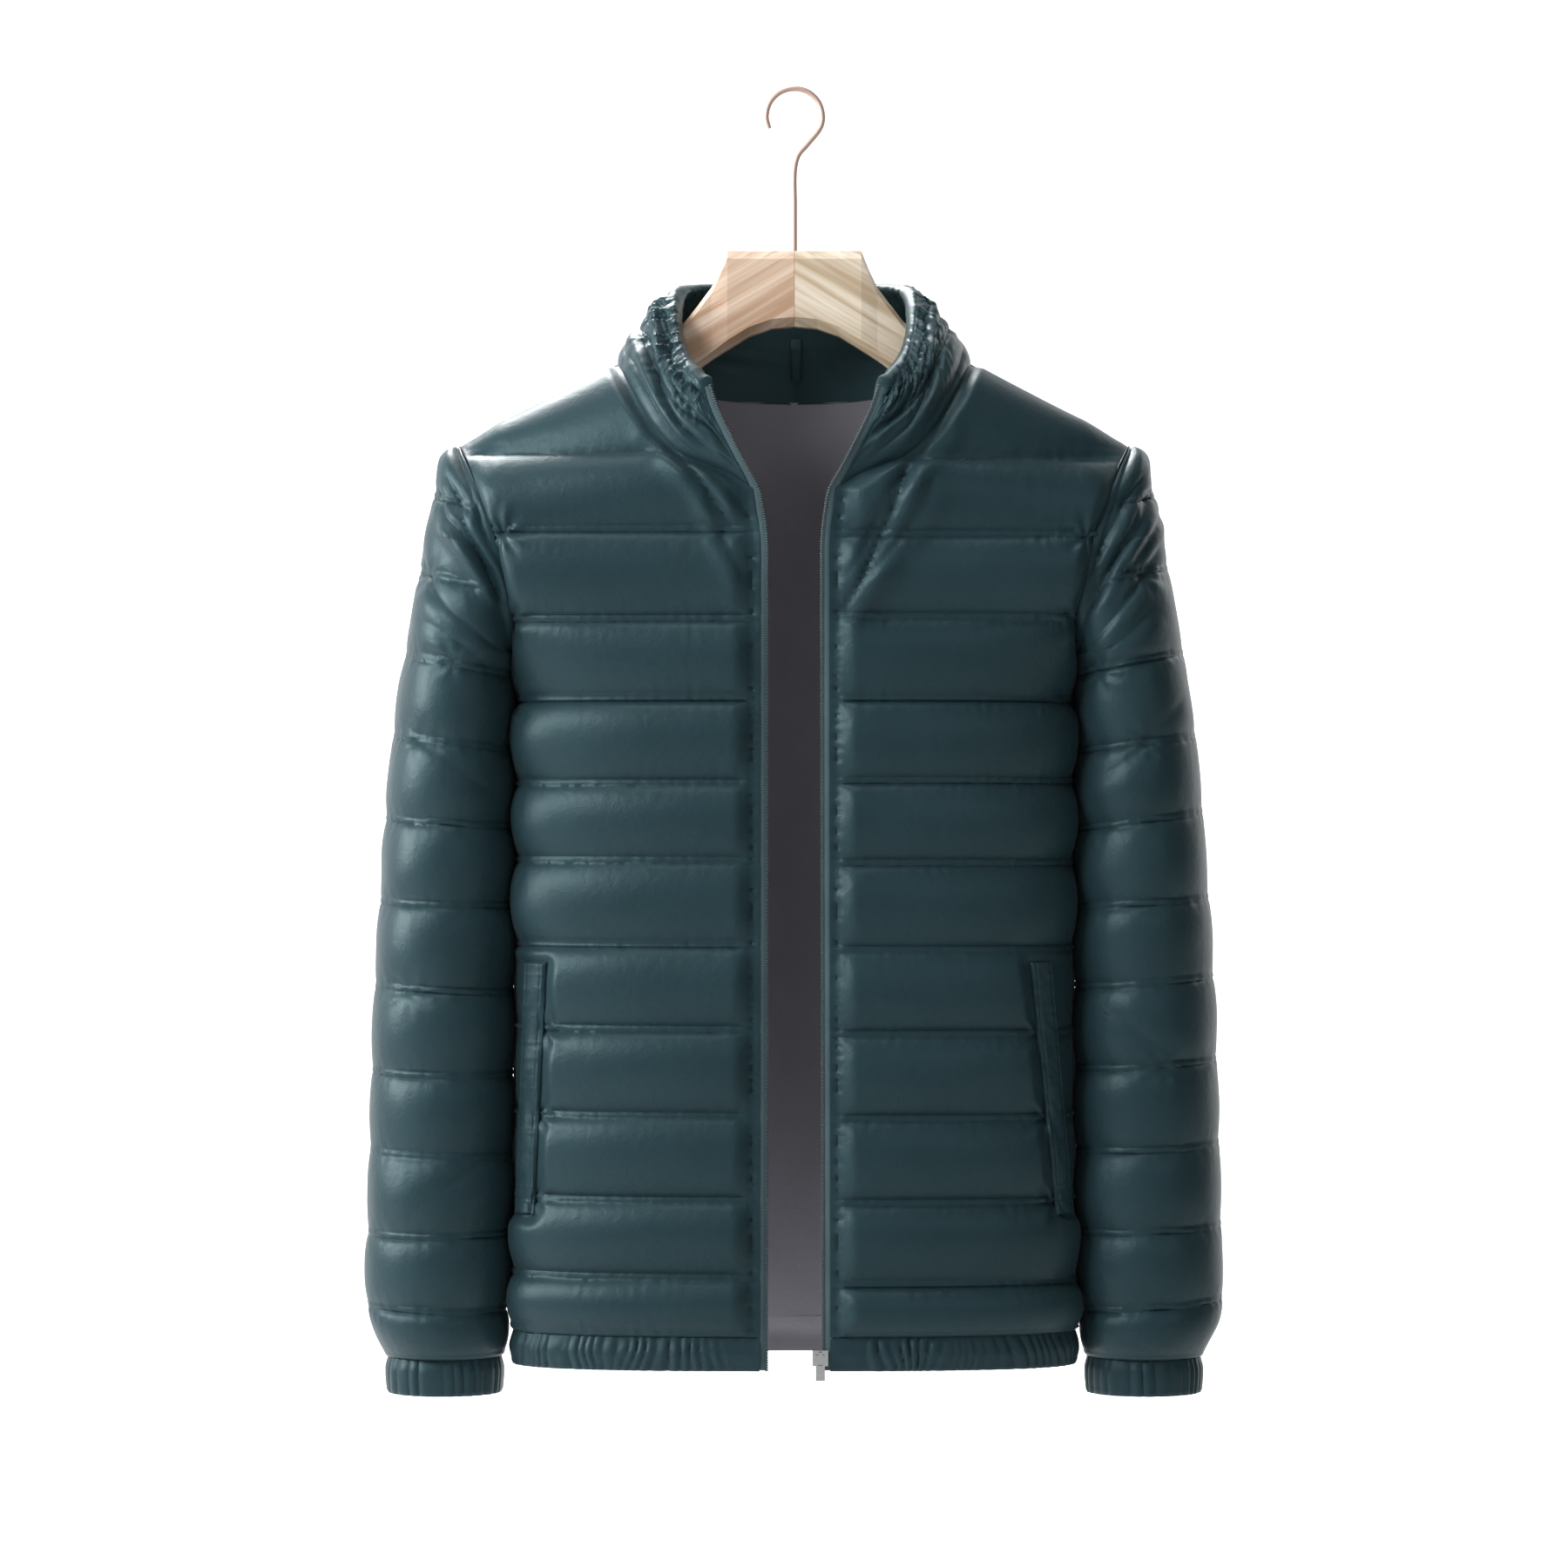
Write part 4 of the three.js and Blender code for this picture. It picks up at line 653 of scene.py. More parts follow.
def collar_piece():
    """Builds the collar: straight from seam to rim, bowed outward by a half sine, with two
    puffed channels, long folds and a rounded rim. Returns its outer face and inner middle."""
    half = COLLAR_COLUMNS // 2
    left, right = collar_ends(-1, half), collar_ends(1, half)
    base, rim = (np.concatenate([a, b[-2::-1]]) for a, b in zip(left, right))
    step = np.linspace(0, 1, COLLAR_ROWS)[:, None, None]
    rising = (rim - base) / np.linalg.norm(rim - base, axis=1, keepdims=True)
    flat = mix(base - rising * TUCK, rim, step)
    normals = grid_normals(flat, 1)
    grid = flat + normals * COLLAR_BOW * np.sin(pi * np.minimum(step * 1.02, 1))
    step = step[..., 0]
    middle = len(base) // 2
    along = np.concatenate([[0], np.cumsum(np.linalg.norm(np.diff(grid[COLLAR_ROWS // 2], axis=0), axis=1))])
    along = (along - along[middle])[None, :]
    height = step * np.linalg.norm(rim - base, axis=1)[None, :]
    phase = (2 * step) % 1.0
    channel = np.floor(np.minimum(2 * step, 1.999))
    end = np.abs(np.linspace(-1, 1, len(base)))[None, :]
    from_end = 0.3 + 0.7 * (1 - ease(0.93, 1, end))
    rise = np.sin(pi * phase)**0.7 * (1 + 0.2 * soft_noise(along / 45, channel * 5.3, 51))
    rise = np.where(step >= 1, 0, rise) + 0.3 * ease(0.93, 1, step)
    to_stitch = np.abs(step - 0.5) * np.linalg.norm(rim - base, axis=1)[None, :]
    to_rim = np.abs(height - (np.linalg.norm(rim - base, axis=1)[None, :] - 9))
    pinch = gather(along + 0.6 * height, to_rim, 13, 6.6, 52) + 0.5 * gather(along, to_rim, 9, 3.8, 53)
    lengthwise = soft_noise(along / 46 + 0.05 * height, height / 6.5, 54) + 0.5 * soft_noise(along / 24, height / 4, 55)
    small = 2.9 * pinch + 0.6 * gather(along, to_stitch, 6, 6.0, 56) + 0.7 * lengthwise * np.sin(pi * np.minimum(step, 1))
    small = small - 1.5 * np.exp(-(to_rim / 1.6)**2)
    for start, finish, depth, width, bend in COLLAR_FOLDS:
        small = small + 0.85 * crease(along, height, start, finish, depth, width, bend)
    fade = ease(0, 0.06, step) * (1 - ease(0.985, 1, end))
    outer = grid + normals * (COLLAR_PUFF * rise * from_end + small * fade)[..., None]
    depth = mix(WALL, RIM_WALL, step) + fade * (1.4 * pinch + 0.8 * lengthwise) * ease(0.1, 0.5, step)
    inside = grid - normals * depth[..., None]
    turn = np.linspace(0, 0.94 * pi, CURL_ROWS + 1)[1:, None, None]
    centre, reach = (outer[-1] + inside[-1]) / 2, (outer[-1] - inside[-1]) / 2
    curl = centre + reach * np.cos(turn) + rising * RIM_ROUND * np.sin(turn)
    picked = np.round(np.linspace(0, COLLAR_ROWS - 1, 34)).astype(int)
    near = np.concatenate([picked[:-1], [COLLAR_ROWS + CURL_ROWS - 1]])
    piece = wall_piece("collar", np.concatenate([outer, curl]), inside[picked], 1, shell_cloth, shell_cloth, near)
    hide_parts("collar")
    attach(piece, "jacket")
    return outer, inside[:, middle]


collar_outer, collar_lining = collar_piece()

# ---------------------------------------------------------------------------
# Sleeves
# Padded tubes of the shell cloth, each cut as one piece with a seam on its inner side. The
# heads are set full into the armholes, and pulled folds run down across them.

# Outer end of each row of the sleeve head, matched to the armhole's rows: height and x
SLEEVE_HEAD = np.array([
    (-257.6, 239), (-258.8, 241.5), (-261, 244), (-265, 246.2), (-270.5, 248), (-277.5, 250.4),
    (-284, 252.2), (-290, 253.8), (-304, 257.0), (-317, 259.8), (-330, 262.3), (-343, 264.8),
    (-361, 268.2), (-374, 270.8), (-387, 273.2), (-402, 275.8),
])
SLEEVE_FIRST = 3
CLOSING_Z = -416.5
SLEEVE_END = -898.0
# Base rows below the head, outer and inner height
SLEEVE_ROWS = np.array([
    (-402, CLOSING_Z), (-459.5, -470.5), (-515.5, -525), (-575.5, -580), (-633.5, -639),
    (-693.5, -698), (-751, -755), (-809.5, -811.5), (-861, -866), (SLEEVE_END, SLEEVE_END),
])
# Stitch lines of each sleeve: height at the outer side and at the inner side
SLEEVE_SEAMS = {
    -1: np.array([(-252, -246), (-290, -305), (-344, -361), (-402, -417), (-459, -470), (-518, -524),
                  (-577, -580), (-637, -641), (-697, -700), (-753, -757), (-812, -812), (-863, -866), (-899, -899)]),
    1: np.array([(-252, -246), (-290, -301), (-341, -355), (-401, -416), (-459, -471), (-513, -526),
                 (-574, -581), (-630, -637), (-689, -695), (-748, -754), (-806, -811), (-858, -866), (-899, -899)]),
}
# Section of the sleeve: height, outer and inner x, half depth, centre y
SLEEVE_SIZE = np.array([
    (-387, 273.2, 196.4, 62, 0), (-401, 275.6, 196.4, 62, 0), (CLOSING_Z, 278.4, 199, 62, 3),
    (-435, 281.4, 200.4, 61.5, 6), (-480, 286.8, 200.4, 61, 8), (-548, 292.2, 200.2, 59.5, 8),
    (-645, 298, 200.6, 56, 8), (-767, 301.7, 201.4, 51, 7), (-828, 303.0, 202.6, 48, 6),
    (-866, 302.2, 205.5, 44, 5), (SLEEVE_END, 290, 207.5, 36, 4),
])
PUFF_SLEEVE, PUFF_OUTER, PUFF_INNER, INNER_LEAST = 7.0, 1.8, 3.5, 2.6

# Folds on the front of each sleeve: side, start x z, end x z, depth, width, bend
SLEEVE_FOLDS = [
    (-1, (239, -279), (205, -363), 4.6, 6, 2), (-1, (236, -308), (206, -362), 4.8, 6, -2),
    (-1, (222, -296), (205, -340), 3.0, 5, 1), (-1, (247, -284), (228, -322), 2.4, 5, 2),
    (-1, (254, -350), (208, -398), 2.2, 9, 3), (-1, (262, -376), (214, -412), 1.6, 9, -3),
    (-1, (270, -440), (214, -500), 1.2, 12, 4), (-1, (222, -760), (272, -800), 1.0, 11, 3),
    (1, (248, -284), (214, -350), 3.0, 6, 2), (1, (242, -276), (206, -346), 3.2, 6, -2),
    (1, (254, -302), (226, -352), 2.6, 5, 1), (1, (236, -300), (205, -372), 3.0, 6, 2),
    (1, (252, -326), (206, -398), 2.2, 7, 3), (1, (246, -372), (206, -410), 2.0, 8, 2),
    (1, (270, -430), (214, -492), 1.3, 12, 4), (1, (226, -650), (280, -690), 1.0, 12, -3),
]
SLEEVE_KNOTS = [
    (-1, 256, -345, 0.45), (-1, 238, -405, 0.5), (-1, 262, -462, 0.4), (-1, 270, -640, 0.4),
    (1, 240, -348, 0.5), (1, 216, -414, 0.6), (1, 246, -463, 0.4), (1, 258, -690, 0.4),
]


def sleeve_grid(rows, columns):
    """Seam-level points of a sleeve. A row is part of an ellipse that runs from the front
    of the armhole over the outside to its back, and closes below the underarm; its height
    slopes evenly from the inner side to the outer one."""
    base = np.concatenate([SHOULDER_TIP[1] - ARMHOLE_HEIGHT * (1 - np.cos(TOP_ANGLES)), ROW_HEIGHTS[:12]])
    stations = np.concatenate([base[SLEEVE_FIRST:], [CLOSING_Z], SLEEVE_ROWS[1:, 1]])
    outer_heights = np.concatenate([SLEEVE_HEAD[:, 0], SLEEVE_ROWS[1:, 0]])
    outer_places = np.concatenate([SLEEVE_HEAD[:, 1], through(SLEEVE_SIZE[:, 0], SLEEVE_SIZE[:, 1], SLEEVE_ROWS[1:, 0])])
    index = np.arange(len(stations))
    closing = len(SLEEVE_HEAD) - 1
    travel = np.concatenate([[0], np.cumsum(np.abs(np.diff(stations + outer_heights)) / 2 + 1.5)])
    r = np.interp(np.linspace(0, travel[-1], rows), travel, index)
    down = np.maximum(r, 1)
    inner_z = np.interp(down, index, stations)
    outer_z = through(index, outer_heights, down)
    outer_x = through(index, outer_places, down)
    edge_x, edge_y = body_edge(inner_z)
    below = np.clip(down - (closing - 1), 0, 1)
    inner_x = mix(edge_x + SEAM_GAP / 2, through(SLEEVE_SIZE[:, 0], SLEEVE_SIZE[:, 2], inner_z), below)
    half_depth = through(SLEEVE_SIZE[:, 0], SLEEVE_SIZE[:, 3], inner_z)
    half_depth = np.where(inner_z > SHOULDER_TIP[1] - ARMHOLE_HEIGHT, edge_y, np.where(down < closing, ARMHOLE_DEPTH, half_depth))
    centre = through(SLEEVE_SIZE[:, 0], SLEEVE_SIZE[:, 4], inner_z) * below
    ratio = np.clip(np.maximum(edge_y, SEAM_GAP / 2) / half_depth, 0, 1)
    half = (outer_x - inner_x) / (1 + np.sqrt(1 - ratio**2))
    around = np.linspace(-1, 1, columns)[None, :]
    angle = around * (pi - np.arcsin(ratio))[:, None]
    x = (outer_x - half)[:, None] + half[:, None] * np.cos(angle)
    across = (x - inner_x[:, None]) / (outer_x - inner_x)[:, None]
    y = centre[:, None] + half_depth[:, None] * np.sin(angle)
    z = mix(inner_z[:, None], outer_z[:, None], across)
    grid = np.stack([x, y, z], axis=-1)
    arc = around[0] * TOP_ANGLES[SLEEVE_FIRST]
    arc_z = SHOULDER_TIP[1] - ARMHOLE_HEIGHT * (1 - np.cos(arc))
    out = mix(SEAM_GAP / 2, SLEEVE_HEAD[0, 1] - SHOULDER_TIP[0], 1 - around[0]**2)
    start = np.stack([body_edge(arc_z)[0] + out, ARMHOLE_DEPTH * np.sin(arc), arc_z], axis=-1)
    first = np.clip(r, 0, 1)[:, None, None]
    grid = np.where(first < 1, mix(start[None], grid, first), grid)
    nearer = np.where(around[0] < 0, 0, -1)
    edge = np.stack([grid[:, k] for k in (0, -1)], axis=1)[:, nearer]
    edge = mix(start[None], edge, ease(0, 1, r)[:, None, None])
    return armhole_lift(grid, edge), r, across


def sleeve_piece(side, name):
    """Builds one sleeve: channels between its sloping stitch lines, folds and knots."""
    grid, r, across = sleeve_grid(430, 122)
    normals = grid_normals(grid, 1)
    x, y, z = grid[..., 0], grid[..., 1], grid[..., 2]
    seams = SLEEVE_SEAMS[side]
    lines = mix(seams[:, 1, None, None], seams[:, 0, None, None], across)
    k = np.clip((z < lines).sum(axis=0) - 1, 0, len(seams) - 2)
    above, under = (np.take_along_axis(lines, (k + s)[None], 0)[0] for s in (0, 1))
    phase = np.clip((above - z) / (above - under), 0, 1)
    away = np.minimum(np.abs(above - z), np.abs(z - under))
    around = np.linspace(-1, 1, grid.shape[1])[None, :]
    along = around * 150 + 7
    seed = 71 + 10 * side
    full = 1 + 0.12 * soft_noise(along / 60 + 7 * k, phase * 1.3 + k, seed)
    lumps = 0.7 * soft_noise(along / 34 + 3 * k, z / 28 + 9, seed + 1) * np.sin(pi * phase)
    small = lumps + 0.4 * gather(along + 31 * k, away, 6, 3.4, seed + 2) + 0.45 * gather(along, away, 10, 7.5, seed + 3)
    turn = np.abs(around)
    front = mix(PUFF_OUTER, PUFF_SLEEVE, ease(0, 0.45, turn))
    head = 1 - ease(-424, -398, z)
    to_seam = mix(mix(1, 0, ease(0.66, 1, turn)), mix(1, PUFF_INNER / PUFF_SLEEVE, ease(0.7, 1, turn)), head)
    top = ease(-2.0, 4.0, r)[:, None]
    full = full * puff(phase / (1 - LEDGE / CHANNEL))
    out = front * (full + ledge(z - under) / PUFF_SLEEVE) * to_seam * top
    out = np.maximum(out, INNER_LEAST * ease(0.86, 0.97, turn) * (1 - head) * ease(SLEEVE_END, SLEEVE_END + 24, z))
    margin = (1 - ease(0.9, 1, turn)) * ease(0, 2.5, r)[:, None] * (1 - ease(len(SLEEVE_HEAD) + 7.7, len(SLEEVE_HEAD) + 8, r))[:, None]
    out = out + small * margin
    facing = ease(-2, 26, -(y - 6))
    for fold_side, start, end, depth, width, bend in SLEEVE_FOLDS:
        if fold_side == side:
            pressed = crease(x, z, start, end, depth, width, bend) * facing
            behind = crease(x, z + 14, start, end, 0.8 * depth, width, -bend) * ease(-2, 26, y - 6)
            out = out + (pressed + behind) * margin
    for number, (knot_side, at_x, at_z, size) in enumerate(SLEEVE_KNOTS):
        if knot_side == side:
            near = (np.abs(x - at_x) < 40) * margin
            out = out + knot(x, z, at_x, at_z, size, number) * near * facing
            out = out + knot(x, z, at_x + 4, at_z - 3, size, number + 3) * near * ease(-2, 26, y - 6)
    out = np.maximum(out, -WALL / 2)
    out[[0, -1]] = 0
    outer = grid + normals * out[..., None]
    plain = np.unique(np.round(np.linspace(0, grid.shape[0] - 1, 64)).astype(int))
    inner = grid[plain] - normals[plain] * WALL
    outer[..., 0] *= side
    inner[..., 0] *= side
    piece = wall_piece(name, outer, inner, side, shell_cloth, lining_cloth)
    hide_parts(name)
    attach(piece, "jacket")


sleeve_piece(-1, "sleeve_left")
sleeve_piece(1, "sleeve_right")

# ---------------------------------------------------------------------------
# Cuffs and hem band
# Unpadded double strips of the shell cloth, gathered on elastic. The cuffs are closed rings,
# and the hem band runs from zip to zip with a flat stretch at each end.

CUFF_CENTRE = (248.5, 4.0)
CUFF_HALF = (41.5, 35.0)
CUFF_TOP, CUFF_BOTTOM, CUFF_WALL = SLEEVE_END + TUCK, -924.0, 2.4
CUFF_PLEATS, CUFF_FOLD = 26, 1.7
HEM_WALL, HEM_FOLD, HEM_PITCH, HEM_FLAT = 2.6, 1.9, 7.4, 26.0

# The same nylon without filling, a little darker where it is folded double
band_cloth = cloth_material("satin_nylon_band_dark_green", "#16272c", "#1f3238", 0.44, 1.1, 0.10, 0.03, 0.36)


def pleats(turn, seed):
    """Gathers round a ring: rounded ridges between sharp valleys, unevenly spaced and deep.
    turn goes from 0 to 1 once round, and the pattern meets itself."""
    angle = 2 * pi * turn
    shift = 0.30 * np.sin(3 * angle + seed) + 0.22 * np.sin(7 * angle + 2.1 * seed) + 0.12 * np.sin(11 * angle)
    deep = 0.75 + 0.3 * np.sin(5 * angle + 1.7 * seed) + 0.2 * np.sin(9 * angle + seed)
    return (np.abs(np.sin(pi * (CUFF_PLEATS * turn + shift)))**0.75 - 0.6) * deep


def loop_quads(rows, columns):
    """Corner numbers of the quads of a grid that closes on itself both ways."""
    i, j = np.meshgrid(np.arange(rows), np.arange(columns), indexing="ij")
    a, b = i * columns + j, i * columns + (j + 1) % columns
    c, d = (i + 1) % rows * columns + (j + 1) % columns, (i + 1) % rows * columns + j
    return np.stack([a, d, c, b], axis=-1).reshape(-1, 4)


def cuff_piece(side, name):
    """Builds one cuff: an ellipse in plan, its wall's section a rounded loop, pleated by
    an amount that is least at the sleeve seam."""
    columns = 420
    down = np.concatenate([np.linspace(0, 1, 26), np.linspace(0.99, 0.01, 14)])
    outside = np.concatenate([np.ones(26), np.zeros(14)])
    down_all = down[:, None]
    z = mix(CUFF_TOP, CUFF_BOTTOM, down_all)
    edge = np.minimum(down_all, 1 - down_all)
    rounded = 0.9 * (1 - ease(0, 0.09, edge)) * np.where(outside[:, None] > 0, 1, -1)
    inset = mix(1.4, -0.4, ease(0, 0.4, down_all)) + mix(0, 0.9, ease(0.5, 1, down_all))
    inset = inset + np.where(outside[:, None] > 0, 0, CUFF_WALL) + rounded
    turn = np.arange(columns)[None, :] / columns
    amount = mix(0.45, 1, ease(0, 0.35, down_all)) * CUFF_FOLD
    lean = 0.006 * np.sin(2 * pi * turn * 2 + side) * (down_all - 0.3)
    out = amount * pleats(turn + lean, 1.3 + side) - inset
    x = CUFF_CENTRE[0] + (CUFF_HALF[0] + out) * np.cos(2 * pi * turn)
    y = CUFF_CENTRE[1] + (CUFF_HALF[1] + out) * np.sin(2 * pi * turn)
    points = np.stack([side * x, y, z + 0 * x], axis=-1)
    faces = loop_quads(len(down), columns)
    piece = make_piece(name, points.reshape(-1, 3), faces[:, ::side], [band_cloth])
    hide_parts(name)
    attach(piece, "jacket")


cuff_piece(-1, "cuff_left")
cuff_piece(1, "cuff_right")


def hem_piece():
    """Builds the hem band on the body's own section, gathered by an amount that grows from
    nothing at its ends. The gathers lean each way in turn, and the lining runs down inside."""
    rows, columns = 30, 760
    down = np.linspace(0, 1, rows)[:, None]
    z = mix(HEM_Z + TUCK, HEM_BOTTOM, down)
    inset = 1 - 2.4 * ease(0, 0.5, down) + 2.0 * ease(0.5, 1, down)
    turn = np.linspace(-1, 1, columns)[None, :]
    side = np.where(turn < 0, -1, 1)
    zip_at = np.where(turn < 0, zip_x(z, -1), zip_x(z, 1)) + TAPE_WIDTH
    edge_x = through(BODY_SIZE[:, 0], BODY_SIZE[:, 1], z) - inset
    start = np.arcsin((zip_at / edge_x)**(SECTION_POWER / 2))
    angle = mix(pi, start, np.abs(turn)**0.9)
    x = edge_x * np.abs(np.sin(angle))**(2 / SECTION_POWER)
    y = np.where(angle > pi / 2, body_y(x, z + 0 * x, edge_x, 0.0, 1), body_y(x, z + 0 * x, edge_x, 0.0, -1))
    grid = np.stack([side * x, y * (1 - inset / 70), z + 0 * x], axis=-1)
    normals = grid_normals(grid, -1)
    middle = grid[rows // 2]
    along = np.concatenate([[0], np.cumsum(np.linalg.norm(np.diff(middle, axis=0), axis=1))])[None, :]
    from_end = np.minimum(along, along[:, -1:] - along)
    shift = 0.8 * soft_noise(along / 19, 0 * along, 81) + 1.3 * soft_noise(along / 30 + 5, down * 1.1, 82) * (down - 0.2)
    ridges = np.abs(np.sin(pi * (along / HEM_PITCH + shift)))**0.75 - 0.6
    deep = 0.8 + 0.65 * soft_noise(along / 12, down, 83)
    fold = HEM_FOLD * ridges * deep * ease(HEM_FLAT - 12, HEM_FLAT + 8, from_end) * mix(0.6, 1, ease(0, 0.3, down))
    fold = fold + 0.3 * soft_noise(along / 5, down * 3, 84)
    edge = np.minimum(down, 1 - down)
    outer = grid + normals * (fold - 0.8 * (1 - ease(0, 0.08, edge)))[..., None]
    picked = np.round(np.linspace(0, rows - 1, 8)).astype(int)
    inner = grid[picked] + normals[picked] * (0.7 * fold[picked] - HEM_WALL)[..., None]
    piece = wall_piece("hem_band", outer, inner, -1, band_cloth, lining_cloth)
    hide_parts("hem_band")
    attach(piece, "jacket")


hem_piece()

# ---------------------------------------------------------------------------
# Zip tapes
# Woven tape down each front edge and up the collar's end, with a moulded nylon coil on its
# free edge. The tape is one swept strip, and the coil's turns are small closed loops.

COIL_PITCH = 1.7
TAPE_STEPS = 360

# Woven polyester tape, grey-green and matt: the light line along each front edge
tape_cloth = cloth_material("polyester_zip_tape_grey_green", "#35444a", "#475a5f", 0.7, 0.7, 0.12, 0.0, 0.3)


def plain_material(name, colour, roughness, metallic, speckle, scale):
    """A smooth solid finish: one colour, its gloss varied by fine noise."""
    material, tree, output = new_material(name)
    where = add_node(tree, "ShaderNodeTexCoord").outputs["Object"]
    noise = add_node(tree, "ShaderNodeTexNoise", [("Vector", where)], in_Scale=scale, in_Detail=4.0)
    gloss = add_node(tree, "ShaderNodeMapRange", [("Value", noise.outputs["Fac"])],
                     in_To_Min=roughness - speckle, in_To_Max=roughness + speckle)
    surface = add_node(tree, "ShaderNodeBsdfPrincipled", [("Roughness", gloss.outputs["Result"])])
    surface.inputs["Base Color"].default_value = to_linear(colour)
    surface.inputs["Metallic"].default_value = metallic
    tree.links.new(surface.outputs["BSDF"], output.inputs["Surface"])
    return material


# Moulded nylon, dark slate: the row of teeth reads as a darker beaded line
coil_nylon = plain_material("moulded_nylon_slate", "#3c484b", 0.45, 0.0, 0.08, 900.0)


def evenly(path, count, *others):
    """The path, and values that go with it, at count places spaced evenly by length."""
    way = np.concatenate([[0], np.cumsum(np.linalg.norm(np.diff(path, axis=0), axis=1))])
    at = np.linspace(0, way[-1], count)
    return [np.stack([np.interp(at, way, a[:, k]) for k in range(3)], axis=1) for a in (path, *others)]


def swept(path, wide, deep, section):
    """Points and faces of a closed strip: the section's places (wide, deep) carried along
    the path on the unit directions wide and deep, with flat ends."""
    size = len(section)
    points = path[:, None] + wide[:, None] * section[None, :, :1] + deep[:, None] * section[None, :, 1:]
    i, j = np.meshgrid(np.arange(len(path) - 1), np.arange(size), indexing="ij")
    a, b = i * size + j, i * size + (j + 1) % size
    faces = np.stack([a, b, b + size, a + size], axis=-1).reshape(-1, 4).tolist()
    last = (len(path) - 1) * size
    faces += [list(range(size))[::-1], [last + k for k in range(size)]]
    return points.reshape(-1, 3), faces


def tape_path(side):
    """Free edge of the collar's end and of the front below it, with its outward normals
    and the direction towards the middle."""
    collar_side = collar_outer[::-1, 0 if side < 0 else -1]
    front = front_outer[side]
    r, _ = front_rows(front.shape[0])
    front_side = front[r >= len(NECK_FRONT) - 1, 0]
    tail = front_side[-1] + np.array([(0, 0.6, HEM_BOTTOM - HEM_Z), (0, 0.6, HEM_BOTTOM - HEM_Z - 2)])
    collar_normals = grid_normals(collar_outer, 1)[::-1, 0 if side < 0 else -1]
    front_normals = grid_normals(front, side)[r >= len(NECK_FRONT) - 1, 0]
    path = np.concatenate([collar_side, front_side, tail])
    out = np.concatenate([collar_normals, front_normals, front_normals[-1:], front_normals[-1:]])
    path, out = evenly(path, TAPE_STEPS, out)
    path, out = smooth_along(path, 3), smooth_along(out, 8)
    ahead = np.gradient(path, axis=0)
    ahead /= np.linalg.norm(ahead, axis=1, keepdims=True)
    across = np.cross(ahead, out)
    across *= (np.sign(-side * across[:, 0]) / np.linalg.norm(across, axis=1))[:, None]
    deep = np.cross(ahead, across)
    deep *= -np.sign((deep * out).sum(axis=1))[:, None]
    return path, across, deep


def zip_pieces(side, name):
    """Builds one tape and its coil."""
    path, across, deep = tape_path(side)
    section = np.array([(-1.6, 1.0), (0.5, 0.8), (3.2, 0.8), (3.6, 1.1), (5.2, 1.1), (5.5, 1.4),
                        (5.5, 1.9), (5.2, 2.2), (3.6, 2.2), (0.5, 2.2), (-1.6, 2.2)])
    handed = np.sign(np.cross(across[0], deep[0]) @ np.gradient(path, axis=0)[0])
    points, faces = swept(path, across, deep, section)
    faces = faces if handed > 0 else [face[::-1] for face in faces]
    tape = make_piece(name, points, faces, [tape_cloth], sharp=40)
    length = np.linalg.norm(np.diff(path, axis=0), axis=1).sum()
    places, wide, back = evenly(path, int(length / COIL_PITCH), across, deep)
    ahead = np.gradient(places, axis=0)
    ahead /= np.linalg.norm(ahead, axis=1, keepdims=True)
    ring = np.array([(4.0, 0.3), (5.7, 0.3), (6.2, 0.8), (6.2, 2.4), (5.7, 2.9), (4.0, 2.9), (3.6, 1.6)])
    size = len(ring)
    loops = []
    for half, shrink in ((-0.5, 0.25), (-0.3, 0), (0.3, 0), (0.5, 0.25)):
        shape = ring + (np.array([(4.9, 1.6)]) - ring) * shrink
        loops.append(places[:, None] + wide[:, None] * shape[None, :, :1] + back[:, None] * shape[None, :, 1:]
                     + ahead[:, None] * half)
    beads = np.stack(loops, axis=1)
    corners = []
    for layer in range(3):
        for j in range(size):
            a, b = layer * size + j, layer * size + (j + 1) % size
            corners.append((a, b, b + size, a + size))
    numbers = np.arange(len(places))[:, None, None] * 4 * size
    sides = (np.array(corners)[None] + numbers).reshape(-1, 4).tolist()
    caps = [[n + k for k in range(size)][::-1] for n in numbers[:, 0, 0]]
    caps += [[n + 3 * size + k for k in range(size)] for n in numbers[:, 0, 0]]
    bead_faces = sides + caps
    bead_faces = bead_faces if handed > 0 else [face[::-1] for face in bead_faces]
    coil = make_piece(name + "_coil", beads.reshape(-1, 3), bead_faces, [coil_nylon], sharp=40)
    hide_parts(name)
    for piece in (tape, coil):
        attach(piece, "jacket")


zip_pieces(-1, "zip_tape_left")
zip_pieces(1, "zip_tape_right")

# ---------------------------------------------------------------------------
# Pocket welts
# A folded strip of shell cloth along each slanted pocket mouth, edge-stitched on both long
# sides, standing just off the front.

WELT_LIFT, WELT_THICK = 0.6, 2.8


